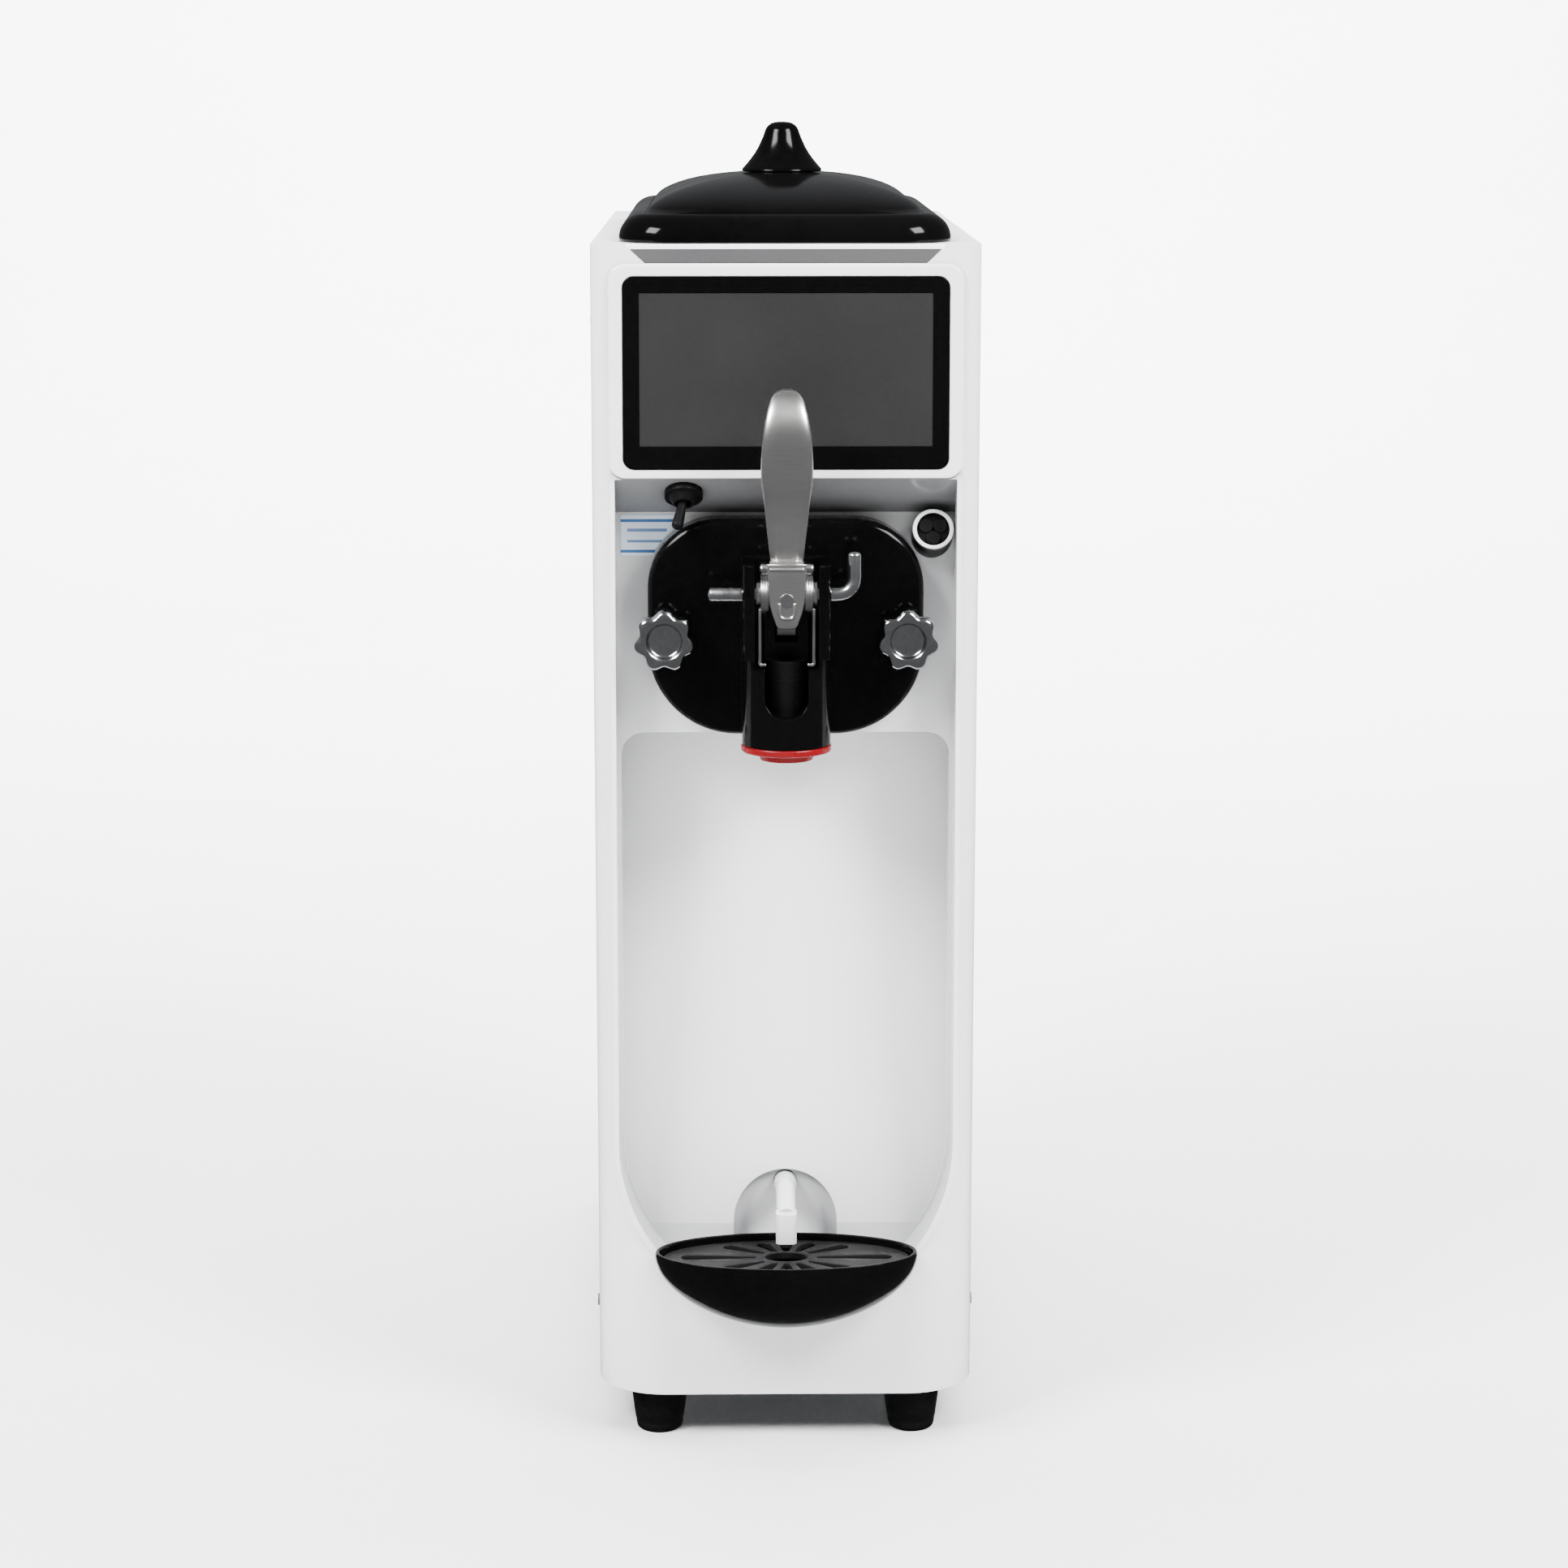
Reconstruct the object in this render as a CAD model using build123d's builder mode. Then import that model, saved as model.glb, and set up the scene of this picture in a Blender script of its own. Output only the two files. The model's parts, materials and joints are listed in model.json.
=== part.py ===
"""Countertop soft-serve ice cream maker, as an assembly of separate pieces.

Millimetres.  +X is the viewer's right, +Y runs to the back, +Z is up.  The origin is the middle of the
footprint, on the surface that the feet stand on.  A "depth" below is measured back from the front plane.
"""
from math import cos, hypot, radians, sin, sqrt
import os

from build123d import *

os.makedirs("parts", exist_ok=True)

# Driving dimensions
WIDTH = 232.0
BODY_DEPTH = 500.0
TRAY_REACH = 54.0
TOP = 737.0
WALL = 3.0
SHEET = 2.0
FOOT_HEIGHT = 27.0
BASE_TOP = 39.0
REAR_FACE = 498.0
PANEL_BOTTOM = 30.0
COVER_BOTTOM = TOP - SHEET

HALF = WIDTH / 2
FRONT = -(BODY_DEPTH - TRAY_REACH) / 2
BACK = FRONT + BODY_DEPTH

# Front panel
PANEL_DEPTH = 46.0
CORNER_TOP = 10.0
CORNER_BOTTOM = 42.0
BLOCK_HALF = 105.5
BLOCK_PROUD = 3.0
BLOCK_LOW = 598.0
BLOCK_HIGH = 726.0
RECESS_HALF = 102.0
MID_DEPTH = 30.0
MID_HIGH = 575.0
CONE_TOP = 440.0
CONE_DEPTH = 56.0
ARC_TOP = CONE_TOP + 20.0
LEDGE = 115.0
LEDGE_HALF = 72.5
ARC_START = 190.0
NICHE_HALF = 32.0
NICHE_DEPTH = 40.0
SPOUT_Z = 154.0

# Screen
GLASS_HALF = 97.0
GLASS_LOW = 604.0
GLASS_HIGH = 719.0
DISPLAY_HALF = 87.0
DISPLAY_LOW = 618.0
DISPLAY_HIGH = 709.0

# Freezing door and its valve
AXIS_Z = 507.0
DOOR_HALF = 83.0
DOOR_LOW = 442.0
DOOR_HIGH = 573.0
DOOR_FACE = 8.0
COLUMN_DEPTH = -12.0
COLUMN_RADIUS = 26.5
COLUMN_TOP = 551.0
BORE = 13.05
PISTON = 13.0
PIVOT_DEPTH = -28.0
PIVOT_Z = 533.0
PIN_RADIUS = 4.0
STUD_X = 72.5
STUD_Z = 502.5
STUD_RADIUS = 4.0
CYLINDER_INNER = 50.0
CYLINDER_OUTER = 52.0
CYLINDER_BACK = 300.0

# Lid and hopper
LID_HALF = 100.0
LID_NEAR = 16.0
LID_FAR = 366.0
RIM_HEIGHT = 17.0
DOME_TOP = 775.0
KNOB_TOP = 806.0
HOPPER_HALF = 90.0
HOPPER_NEAR = 44.0
HOPPER_FAR = 346.0
HOPPER_FLOOR = 612.0
LID_MIDDLE = (LID_NEAR + LID_FAR) / 2

# Drive and cooling, behind the recesses
FEED_DEPTH = 95.0
DECK_Z = 255.0
MOTOR_Z = 330.0
FAN_Z = 140.0
COMPRESSOR_DEPTH = 150.0

# Power switch, on the slope under the head, and the port beside the door
SWITCH_X = -61.0
SWITCH_DEPTH = 11.0
SLOPE_RUN = MID_DEPTH
SLOPE_DROP = BLOCK_LOW - MID_HIGH
PORT_X = 88.5
PORT_DEPTH = 14.0
PORT_Z = 566.0
PORT_TILT = 20.0

# Drip tray
TRAY_MIDDLE = -17.0
TRAY_HALF = 80.0
TRAY_RADIUS_Y = 37.0
TRAY_RIM = 127.5
TRAY_DEEP = 47.5
BOWL_FULLNESS = 0.5
GRILLE_HALF = 75.3
GRILLE_RADIUS_Y = 33.1
GRILLE_SLOTS = 12


def at(depth):
    """Y of a point that lies this far behind the front plane."""
    return FRONT + depth


def facing(depth):
    """Plane square to the view from the front; its normal points at the viewer."""
    return Plane.XZ.offset(-at(depth))


def switch_plane(out):
    """Plane of the switch's axis, this far out from the slope under the head."""
    length = sqrt(SLOPE_RUN ** 2 + SLOPE_DROP ** 2)
    normal = (0, -SLOPE_DROP / length, -SLOPE_RUN / length)
    z = BLOCK_LOW - SLOPE_DROP * SWITCH_DEPTH / SLOPE_RUN
    return Plane(origin=(SWITCH_X, at(SWITCH_DEPTH), z), x_dir=(1, 0, 0), z_dir=normal).offset(out)


def port_plane(out):
    """Plane of the port's axis, which leans up towards the viewer."""
    axis = (0, -cos(radians(PORT_TILT)), sin(radians(PORT_TILT)))
    return Plane(origin=(PORT_X, at(PORT_DEPTH), PORT_Z), x_dir=(1, 0, 0), z_dir=axis).offset(out)


def save(piece, name):
    """Label a finished piece and write its file."""
    piece.label = name
    export_step(piece, "parts/" + name + ".step")


def corner_radius(z):
    """Plan radius of the panel's vertical corners, which grows towards the bottom."""
    share = (z - PANEL_BOTTOM) / (COVER_BOTTOM - PANEL_BOTTOM)
    return CORNER_BOTTOM + (CORNER_TOP - CORNER_BOTTOM) * share


def front_plan(z, inset, back_depth):
    """Face of the body's plan at height z: square at the back, rounded at the two front corners."""
    half = HALF - inset
    near = at(inset)
    far = at(back_depth)
    r = corner_radius(z) - inset
    with BuildSketch(Plane.XY.offset(z)) as plan:
        with BuildLine():
            Line((-half, far), (-half, near + r))
            RadiusArc((-half, near + r), (-half + r, near), -r)
            Line((-half + r, near), (half - r, near))
            RadiusArc((half - r, near), (half, near + r), -r)
            Line((half, near + r), (half, far))
            Line((half, far), (-half, far))
        make_face()
    return plan.sketch


def recess_outline(half, low_half, low, top, top_radius):
    """Front view of the recess: upright sides that sweep inwards near the drip tray's ledge."""
    rise = ARC_START - low
    sweep_x = half - (half - low_half) * 0.27
    sweep_z = low + rise * 0.45
    with BuildSketch(facing(0)) as outline:
        with BuildLine():
            Line((-half, top - top_radius), (-half, ARC_START))
            ThreePointArc((-half, ARC_START), (-sweep_x, sweep_z), (-low_half, low))
            Line((-low_half, low), (low_half, low))
            ThreePointArc((low_half, low), (sweep_x, sweep_z), (half, ARC_START))
            Line((half, ARC_START), (half, top - top_radius))
            RadiusArc((half, top - top_radius), (half - top_radius, top), -top_radius)
            Line((half - top_radius, top), (-half + top_radius, top))
            RadiusArc((-half + top_radius, top), (-half, top - top_radius), -top_radius)
        make_face()
    return outline.sketch


def trough(grow):
    """Space of the shallow trough, from the ledge up to the head, that holds the door and the tray's back."""
    slope_near = BLOCK_LOW + grow
    with BuildPart() as space:
        with BuildSketch(Plane.YZ):
            with BuildLine():
                Polyline((at(-20), LEDGE - grow), (at(-20), slope_near), (at(0), slope_near),
                         (at(MID_DEPTH + grow), MID_HIGH + grow), (at(MID_DEPTH + grow), LEDGE - grow),
                         close=True)
            make_face()
        extrude(amount=HALF, both=True)
        outline = recess_outline(RECESS_HALF + grow, LEDGE_HALF + grow, LEDGE - grow, BLOCK_LOW + 2 * grow, 1)
        extrude(outline, amount=60, both=True, mode=Mode.INTERSECT)
    return space.part


def cone_space(grow):
    """Deeper space under the door, where the cone is held, with a floor that curves forward to the tray."""
    with BuildPart() as space:
        with BuildSketch(Plane.YZ):
            with BuildLine():
                Line((at(10), LEDGE - grow), (at(10), ARC_TOP))
                Line((at(10), ARC_TOP), (at(CONE_DEPTH + grow), ARC_TOP))
                ThreePointArc((at(CONE_DEPTH + grow), ARC_TOP), (at(52 + grow), 290),
                              (at(27 + grow), LEDGE - grow))
                Line((at(27 + grow), LEDGE - grow), (at(10), LEDGE - grow))
            make_face()
        extrude(amount=HALF, both=True)
        outline = recess_outline(RECESS_HALF - 2 + grow, LEDGE_HALF - 2 + grow, LEDGE - grow,
                                 CONE_TOP + grow, 14 + grow)
        extrude(outline, amount=80, both=True, mode=Mode.INTERSECT)
    return space.part


def niche_space(grow):
    """Arched niche behind the drain spout."""
    half = NICHE_HALF + grow
    spring = 163.0 - NICHE_HALF
    with BuildPart() as space:
        with BuildSketch(facing(NICHE_DEPTH + grow)):
            with BuildLine():
                Line((-half, spring), (-half, LEDGE + 3 - grow))
                Line((-half, LEDGE + 3 - grow), (half, LEDGE + 3 - grow))
                Line((half, LEDGE + 3 - grow), (half, spring))
                ThreePointArc((half, spring), (0, spring + half), (-half, spring))
            make_face()
        extrude(amount=NICHE_DEPTH + grow - 15)
    return space.part


def relief_space(grow):
    """Finger relief in the top edge, under the lid's rim."""
    with BuildPart() as space:
        with BuildSketch(facing(20)):
            Polygon((-97 - grow, TOP + 1), (-83 - grow / 2, 726 - grow), (83 + grow / 2, 726 - grow),
                    (97 + grow, TOP + 1), align=None)
        extrude(amount=40)
        with BuildSketch(Plane.YZ):
            with BuildLine():
                Polyline((at(-10), 725 - grow), (at(0), 726 - grow), (at(15 + grow), TOP + 1),
                         (at(-10), TOP + 1), close=True)
            make_face()
        extrude(amount=HALF, both=True, mode=Mode.INTERSECT)
    return space.part


def make_front_panel():
    """White moulding: rounded shell, raised screen block, trough, cone recess, niche and finger relief."""
    liners = [trough(WALL), cone_space(WALL), niche_space(WALL), relief_space(WALL)]
    spaces = [trough(0), cone_space(0), niche_space(0), relief_space(0)]
    with BuildPart() as front_panel:
        loft([front_plan(PANEL_BOTTOM, 0, PANEL_DEPTH), front_plan(COVER_BOTTOM, 0, PANEL_DEPTH)], ruled=True)
        loft([front_plan(PANEL_BOTTOM, WALL, PANEL_DEPTH + 1),
              front_plan(COVER_BOTTOM, WALL, PANEL_DEPTH + 1)], ruled=True, mode=Mode.SUBTRACT)
        with BuildSketch(facing(WALL)):
            with Locations((0, (BLOCK_LOW + BLOCK_HIGH) / 2)):
                RectangleRounded(2 * BLOCK_HALF, BLOCK_HIGH - BLOCK_LOW, 10)
        extrude(amount=WALL + BLOCK_PROUD)
        block_face = front_panel.faces().filter_by(Axis.Y).sort_by(Axis.Y)[0]
        fillet(block_face.outer_wire().edges(), 2)
        with BuildPart(mode=Mode.PRIVATE) as lining:
            add(liners)
            with BuildSketch(Plane.XZ.offset(-at(0))):
                Rectangle(WIDTH * 2, TOP * 4)
            extrude(amount=100, mode=Mode.SUBTRACT)
            with BuildSketch(Plane.XY.offset(COVER_BOTTOM)):
                Rectangle(WIDTH * 2, BODY_DEPTH * 2)
            extrude(amount=20, mode=Mode.SUBTRACT)
        add(lining.part)
        add(spaces, mode=Mode.SUBTRACT)
        with BuildSketch(facing(MID_DEPTH + WALL + 1)):
            with Locations((0, AXIS_Z)):
                Circle(60.2)
            with Locations((-STUD_X, STUD_Z), (STUD_X, STUD_Z)):
                Circle(STUD_RADIUS + 1)
        extrude(amount=WALL + 2, mode=Mode.SUBTRACT)
        with BuildSketch(facing(BLOCK_PROUD * 2)):
            with Locations((0, (DISPLAY_LOW + DISPLAY_HIGH) / 2)):
                Rectangle(2 * DISPLAY_HALF + 4, DISPLAY_HIGH - DISPLAY_LOW + 4)
        extrude(amount=WALL * 4, mode=Mode.SUBTRACT)
        with BuildSketch(facing(0)):
            with Locations((0, (GLASS_LOW + GLASS_HIGH) / 2)):
                RectangleRounded(2 * GLASS_HALF, GLASS_HIGH - GLASS_LOW, 7)
        extrude(amount=WALL * 2, mode=Mode.SUBTRACT)
        with BuildSketch(facing(NICHE_DEPTH + WALL + 1)):
            with Locations((0, SPOUT_Z)):
                Circle(7.2)
        extrude(amount=WALL * 2, mode=Mode.SUBTRACT)
        with BuildSketch(switch_plane(0)):
            Circle(6)
        extrude(amount=8, both=True, mode=Mode.SUBTRACT)
        with BuildSketch(facing(MID_DEPTH + WALL + 1)):
            with Locations((PORT_X, 560)):
                Circle(9)
        extrude(amount=WALL + 2, mode=Mode.SUBTRACT)
    save(front_panel.part, "front_panel")


def make_case():
    """Sheet-metal case: base frame, sides, rear, top cover, inner walls, and what stands under it."""
    with BuildPart() as base_frame:
        with BuildSketch(Plane.XY.offset(FOOT_HEIGHT)):
            with Locations((0, at((14 + REAR_FACE - 3) / 2))):
                RectangleRounded(2 * HALF - 8, REAR_FACE - 3 - 14, 26)
        extrude(amount=BASE_TOP - FOOT_HEIGHT)
        with BuildSketch(Plane.XY.offset(FOOT_HEIGHT + SHEET)):
            with Locations((0, at((14 + REAR_FACE - 3) / 2))):
                RectangleRounded(2 * HALF - 12, REAR_FACE - 3 - 14 - 4, 24)
        extrude(amount=BASE_TOP, mode=Mode.SUBTRACT)
        with BuildSketch(Plane.XY.offset(FOOT_HEIGHT)):
            with Locations((0, at(300))):
                with GridLocations(0, 14, 1, 9):
                    SlotOverall(120, 6)
        extrude(amount=SHEET, mode=Mode.SUBTRACT)
    save(base_frame.part, "base_frame")

    with BuildPart() as feet:
        with BuildSketch(Plane.XY):
            with Locations((0, at(250))):
                with GridLocations(157, 446, 2, 2):
                    Circle(14)
        extrude(amount=FOOT_HEIGHT, taper=-7.4)
        fillet(feet.faces().sort_by(Axis.Z)[:4].edges(), 1.5)
    save(feet.part, "feet")

    for name, side in (("left_panel", -1), ("right_panel", 1)):
        with BuildPart() as panel:
            with BuildSketch(Plane.YZ.offset(side * (HALF - SHEET / 2))):
                with Locations((at((PANEL_DEPTH + REAR_FACE) / 2), (PANEL_BOTTOM + COVER_BOTTOM) / 2)):
                    Rectangle(REAR_FACE - PANEL_DEPTH, COVER_BOTTOM - PANEL_BOTTOM)
                with Locations((at(400), 150)):
                    with GridLocations(70, 14, 2, 12):
                        SlotOverall(54, 6, mode=Mode.SUBTRACT)
                with Locations((at(54), 73), (at(54), 690), (at(485), 73), (at(485), 690)):
                    Circle(2.1, mode=Mode.SUBTRACT)
            extrude(amount=SHEET / 2, both=True)
        save(panel.part, name)

    rear_middle = (PANEL_BOTTOM + COVER_BOTTOM) / 2
    with BuildPart() as rear_panel:
        with BuildSketch(facing(REAR_FACE)):
            with Locations((0, rear_middle)):
                Rectangle(2 * (HALF - SHEET), COVER_BOTTOM - PANEL_BOTTOM)
            with Locations((0, 145)):
                with GridLocations(62, 14, 3, 13):
                    SlotOverall(50, 6, mode=Mode.SUBTRACT)
            with Locations((0, 470)):
                with GridLocations(62, 14, 3, 8):
                    SlotOverall(50, 6, mode=Mode.SUBTRACT)
            with Locations((-75, 300)):
                Rectangle(27.4, 20.4, mode=Mode.SUBTRACT)
            with Locations((0, rear_middle)):
                with GridLocations(210, 210, 2, 4):
                    Circle(2.1, mode=Mode.SUBTRACT)
        extrude(amount=SHEET)
    save(rear_panel.part, "rear_panel")

    with BuildPart() as case_screws:
        for side in (-1, 1):
            for radius, length in ((3.6, 1.6), (1.9, -6)):
                with BuildSketch(Plane.YZ.offset(side * HALF)):
                    with Locations((at(54), 73), (at(54), 690), (at(485), 73), (at(485), 690)):
                        Circle(radius)
                extrude(amount=side * length)
        for radius, length in ((3.6, 1.6), (1.9, -6)):
            with BuildSketch(facing(REAR_FACE)):
                with Locations((0, rear_middle)):
                    with GridLocations(210, 210, 2, 4):
                        Circle(radius)
            extrude(amount=-length)
    save(case_screws.part, "case_screws")

    with BuildPart() as power_inlet:
        with BuildSketch(facing(REAR_FACE)):
            with Locations((-75, 300)):
                Rectangle(27, 20)
        extrude(amount=22)
        with BuildSketch(facing(BODY_DEPTH)):
            with Locations((-75, 300)):
                RectangleRounded(48, 24, 4)
        extrude(amount=BODY_DEPTH - REAR_FACE)
        with BuildSketch(facing(BODY_DEPTH)):
            with Locations((-75, 300)):
                RectangleRounded(23, 16, 3)
        extrude(amount=17, mode=Mode.SUBTRACT)
        with BuildSketch(facing(BODY_DEPTH - 17)):
            with Locations((-82, 298), (-75, 302), (-68, 298)):
                Rectangle(2, 4)
        extrude(amount=-12)
    save(power_inlet.part, "power_inlet")

    with BuildPart() as top_cover:
        extrude(front_plan(COVER_BOTTOM, 0, REAR_FACE), amount=SHEET)
        with BuildSketch(Plane.XY.offset(COVER_BOTTOM)):
            with Locations((0, at((HOPPER_NEAR + HOPPER_FAR) / 2))):
                RectangleRounded(2 * HOPPER_HALF + 4, HOPPER_FAR - HOPPER_NEAR + 4, 27)
        extrude(amount=SHEET, mode=Mode.SUBTRACT)
        add(relief_space(0), mode=Mode.SUBTRACT)
    save(top_cover.part, "top_cover")

    with BuildPart() as bulkhead:
        with BuildSketch(facing(66)):
            with Locations((0, (BASE_TOP + 600) / 2)):
                Rectangle(2 * HALF - 10, 600 - BASE_TOP)
            with Locations((0, AXIS_Z)):
                Circle(71, mode=Mode.SUBTRACT)
            with Locations((-95, 585)):
                Circle(8, mode=Mode.SUBTRACT)
        extrude(amount=SHEET)
        with BuildSketch(Plane.XY.offset(600 - SHEET)):
            with Locations((0, at(73))):
                Rectangle(2 * HALF - 10, 14)
        extrude(amount=SHEET)
    save(bulkhead.part, "bulkhead")

    with BuildPart() as mid_deck:
        with BuildSketch(Plane.XY.offset(DECK_Z)):
            with Locations((0, at(281))):
                Rectangle(2 * HALF - 10, 429)
            with Locations((-85, at(250))):
                Circle(7, mode=Mode.SUBTRACT)
            with Locations((0, at(440))):
                Rectangle(60, 40, mode=Mode.SUBTRACT)
        extrude(amount=SHEET)
        with BuildSketch(facing(312)):
            with Locations((0, (DECK_Z + 560) / 2)):
                Rectangle(110, 560 - DECK_Z)
            with Locations((0, AXIS_Z)):
                Circle(10, mode=Mode.SUBTRACT)
            with Locations((0, MOTOR_Z)):
                Circle(52.6, mode=Mode.SUBTRACT)
        extrude(amount=SHEET)
    save(mid_deck.part, "mid_deck")


def make_screen():
    """Black glass bezel, display and the control board behind them."""
    middle = (GLASS_LOW + GLASS_HIGH) / 2
    window = (DISPLAY_LOW + DISPLAY_HIGH) / 2
    with BuildPart() as screen_bezel:
        with BuildSketch(facing(0)):
            with Locations((0, middle)):
                RectangleRounded(2 * GLASS_HALF - 0.6, GLASS_HIGH - GLASS_LOW - 0.6, 6.7)
            with Locations((0, window)):
                RectangleRounded(2 * DISPLAY_HALF + 0.4, DISPLAY_HIGH - DISPLAY_LOW + 0.4, 1, mode=Mode.SUBTRACT)
        extrude(amount=BLOCK_PROUD + 0.6)
        front = screen_bezel.faces().filter_by(Axis.Y).sort_by(Axis.Y)[0]
        fillet(front.outer_wire().edges(), 0.5)
    save(screen_bezel.part, "screen_bezel")

    with BuildPart() as display_panel:
        with BuildSketch(facing(8)):
            with Locations((0, window)):
                Rectangle(2 * DISPLAY_HALF + 3, DISPLAY_HIGH - DISPLAY_LOW + 3)
        extrude(amount=8)
        with BuildSketch(facing(0)):
            with Locations((0, window)):
                RectangleRounded(2 * DISPLAY_HALF, DISPLAY_HIGH - DISPLAY_LOW, 0.8)
        extrude(amount=BLOCK_PROUD + 0.2)
    save(display_panel.part, "display_panel")

    with BuildPart() as control_board:
        with BuildSketch(facing(15.6)):
            with Locations((0, 662)):
                Rectangle(150, 78)
                with GridLocations(140, 68, 2, 2):
                    Circle(2, mode=Mode.SUBTRACT)
        extrude(amount=1.6)
        with BuildSketch(facing(15.6)):
            with Locations((-30, 662)):
                Rectangle(24, 24)
            with Locations((28, 680), (28, 648)):
                Rectangle(30, 14)
        extrude(amount=-5)
        with BuildSketch(facing(15.6)):
            with Locations((58, 640), (58, 662), (58, 684)):
                Circle(6)
        extrude(amount=-14)
    save(control_board.part, "control_board")


def make_switch_and_port():
    """Toggle switch under the head, the round port with its hood, and the information label."""
    with BuildPart() as switch_body:
        with BuildSketch(switch_plane(-18)):
            Rectangle(14, 22)
        extrude(amount=13.4)
        with BuildSketch(switch_plane(-4)):
            Circle(5.8)
        extrude(amount=4.1)
        with BuildSketch(switch_plane(0.1)):
            Circle(11.5)
        extrude(amount=4)
        with BuildSketch(switch_plane(4)):
            Circle(9)
        extrude(amount=4.5, taper=32)
        with BuildSketch(switch_plane(2)):
            Circle(4.8)
        extrude(amount=8, mode=Mode.SUBTRACT)
    save(switch_body.part, "switch_body")

    with BuildPart() as switch_lever:
        lever = switch_plane(5).rotated((0, 14, 0))
        with BuildSketch(lever):
            Circle(2.4)
        extrude(amount=21, taper=-3.5)
        fillet(switch_lever.edges().filter_by(GeomType.CIRCLE).group_by(SortBy.RADIUS)[-1], 2.4)
        with BuildSketch(Plane(origin=lever.origin, x_dir=(1, 0, 0), z_dir=lever.y_dir)):
            Circle(2.8)
        extrude(amount=3.4, both=True)
    save(switch_lever.part, "switch_lever")

    with BuildPart() as port_sleeve:
        with BuildSketch(port_plane(0)):
            Circle(12.5)
        extrude(amount=-24)
        with BuildSketch(port_plane(0)):
            Circle(10.4)
        extrude(amount=-12, mode=Mode.SUBTRACT)
        with BuildSketch(facing(MID_DEPTH - 0.1)):
            with Locations((PORT_X, PORT_Z)):
                Rectangle(60, 80)
        extrude(amount=-30, mode=Mode.SUBTRACT)
        with BuildSketch(facing(MID_DEPTH + 14)):
            with Locations((PORT_X, 560)):
                Circle(8.6)
        extrude(amount=14.6)
    save(port_sleeve.part, "port_sleeve")

    with BuildPart() as port_ring:
        with BuildSketch(port_plane(0.1)):
            Circle(12.4)
            Circle(9.9, mode=Mode.SUBTRACT)
        extrude(amount=2.4)
        fillet(port_ring.edges().filter_by(GeomType.CIRCLE).sort_by(Axis.Y)[:2], 0.8)
    save(port_ring.part, "port_ring")

    with BuildPart() as port_core:
        with BuildSketch(port_plane(-11.8)):
            Circle(9.7)
        extrude(amount=10.6)
        with BuildSketch(port_plane(-1.2)):
            with PolarLocations(4.9, 3, start_angle=30):
                Circle(3.9)
        extrude(amount=1.6)
    save(port_core.part, "port_core")

    with BuildPart() as info_label:
        with BuildSketch(facing(MID_DEPTH - 0.02)):
            with Locations((-82, 561)):
                RectangleRounded(35, 25, 1.5)
            with Locations((0, (DOOR_LOW + DOOR_HIGH) / 2)):
                RectangleRounded(2 * DOOR_HALF + 1.6, DOOR_HIGH - DOOR_LOW + 1.6, 42.8, mode=Mode.SUBTRACT)
        extrude(amount=0.3)
    save(info_label.part, "info_label")


def door_outline(grow):
    """Front view of the door: large corners, larger still at the bottom."""
    top_r = 42.0
    low_r = 54.0
    half = DOOR_HALF + grow
    with BuildSketch(facing(MID_DEPTH)) as outline:
        with BuildLine():
            Line((-half, DOOR_LOW + low_r), (-half, DOOR_HIGH - top_r))
            RadiusArc((-half, DOOR_HIGH - top_r), (-half + top_r, DOOR_HIGH + grow), top_r + grow)
            Line((-half + top_r, DOOR_HIGH + grow), (half - top_r, DOOR_HIGH + grow))
            RadiusArc((half - top_r, DOOR_HIGH + grow), (half, DOOR_HIGH - top_r), top_r + grow)
            Line((half, DOOR_HIGH - top_r), (half, DOOR_LOW + low_r))
            RadiusArc((half, DOOR_LOW + low_r), (half - low_r, DOOR_LOW - grow), low_r + grow)
            Line((half - low_r, DOOR_LOW - grow), (-half + low_r, DOOR_LOW - grow))
            RadiusArc((-half + low_r, DOOR_LOW - grow), (-half, DOOR_LOW + low_r), low_r + grow)
        make_face()
    return outline.sketch


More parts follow.
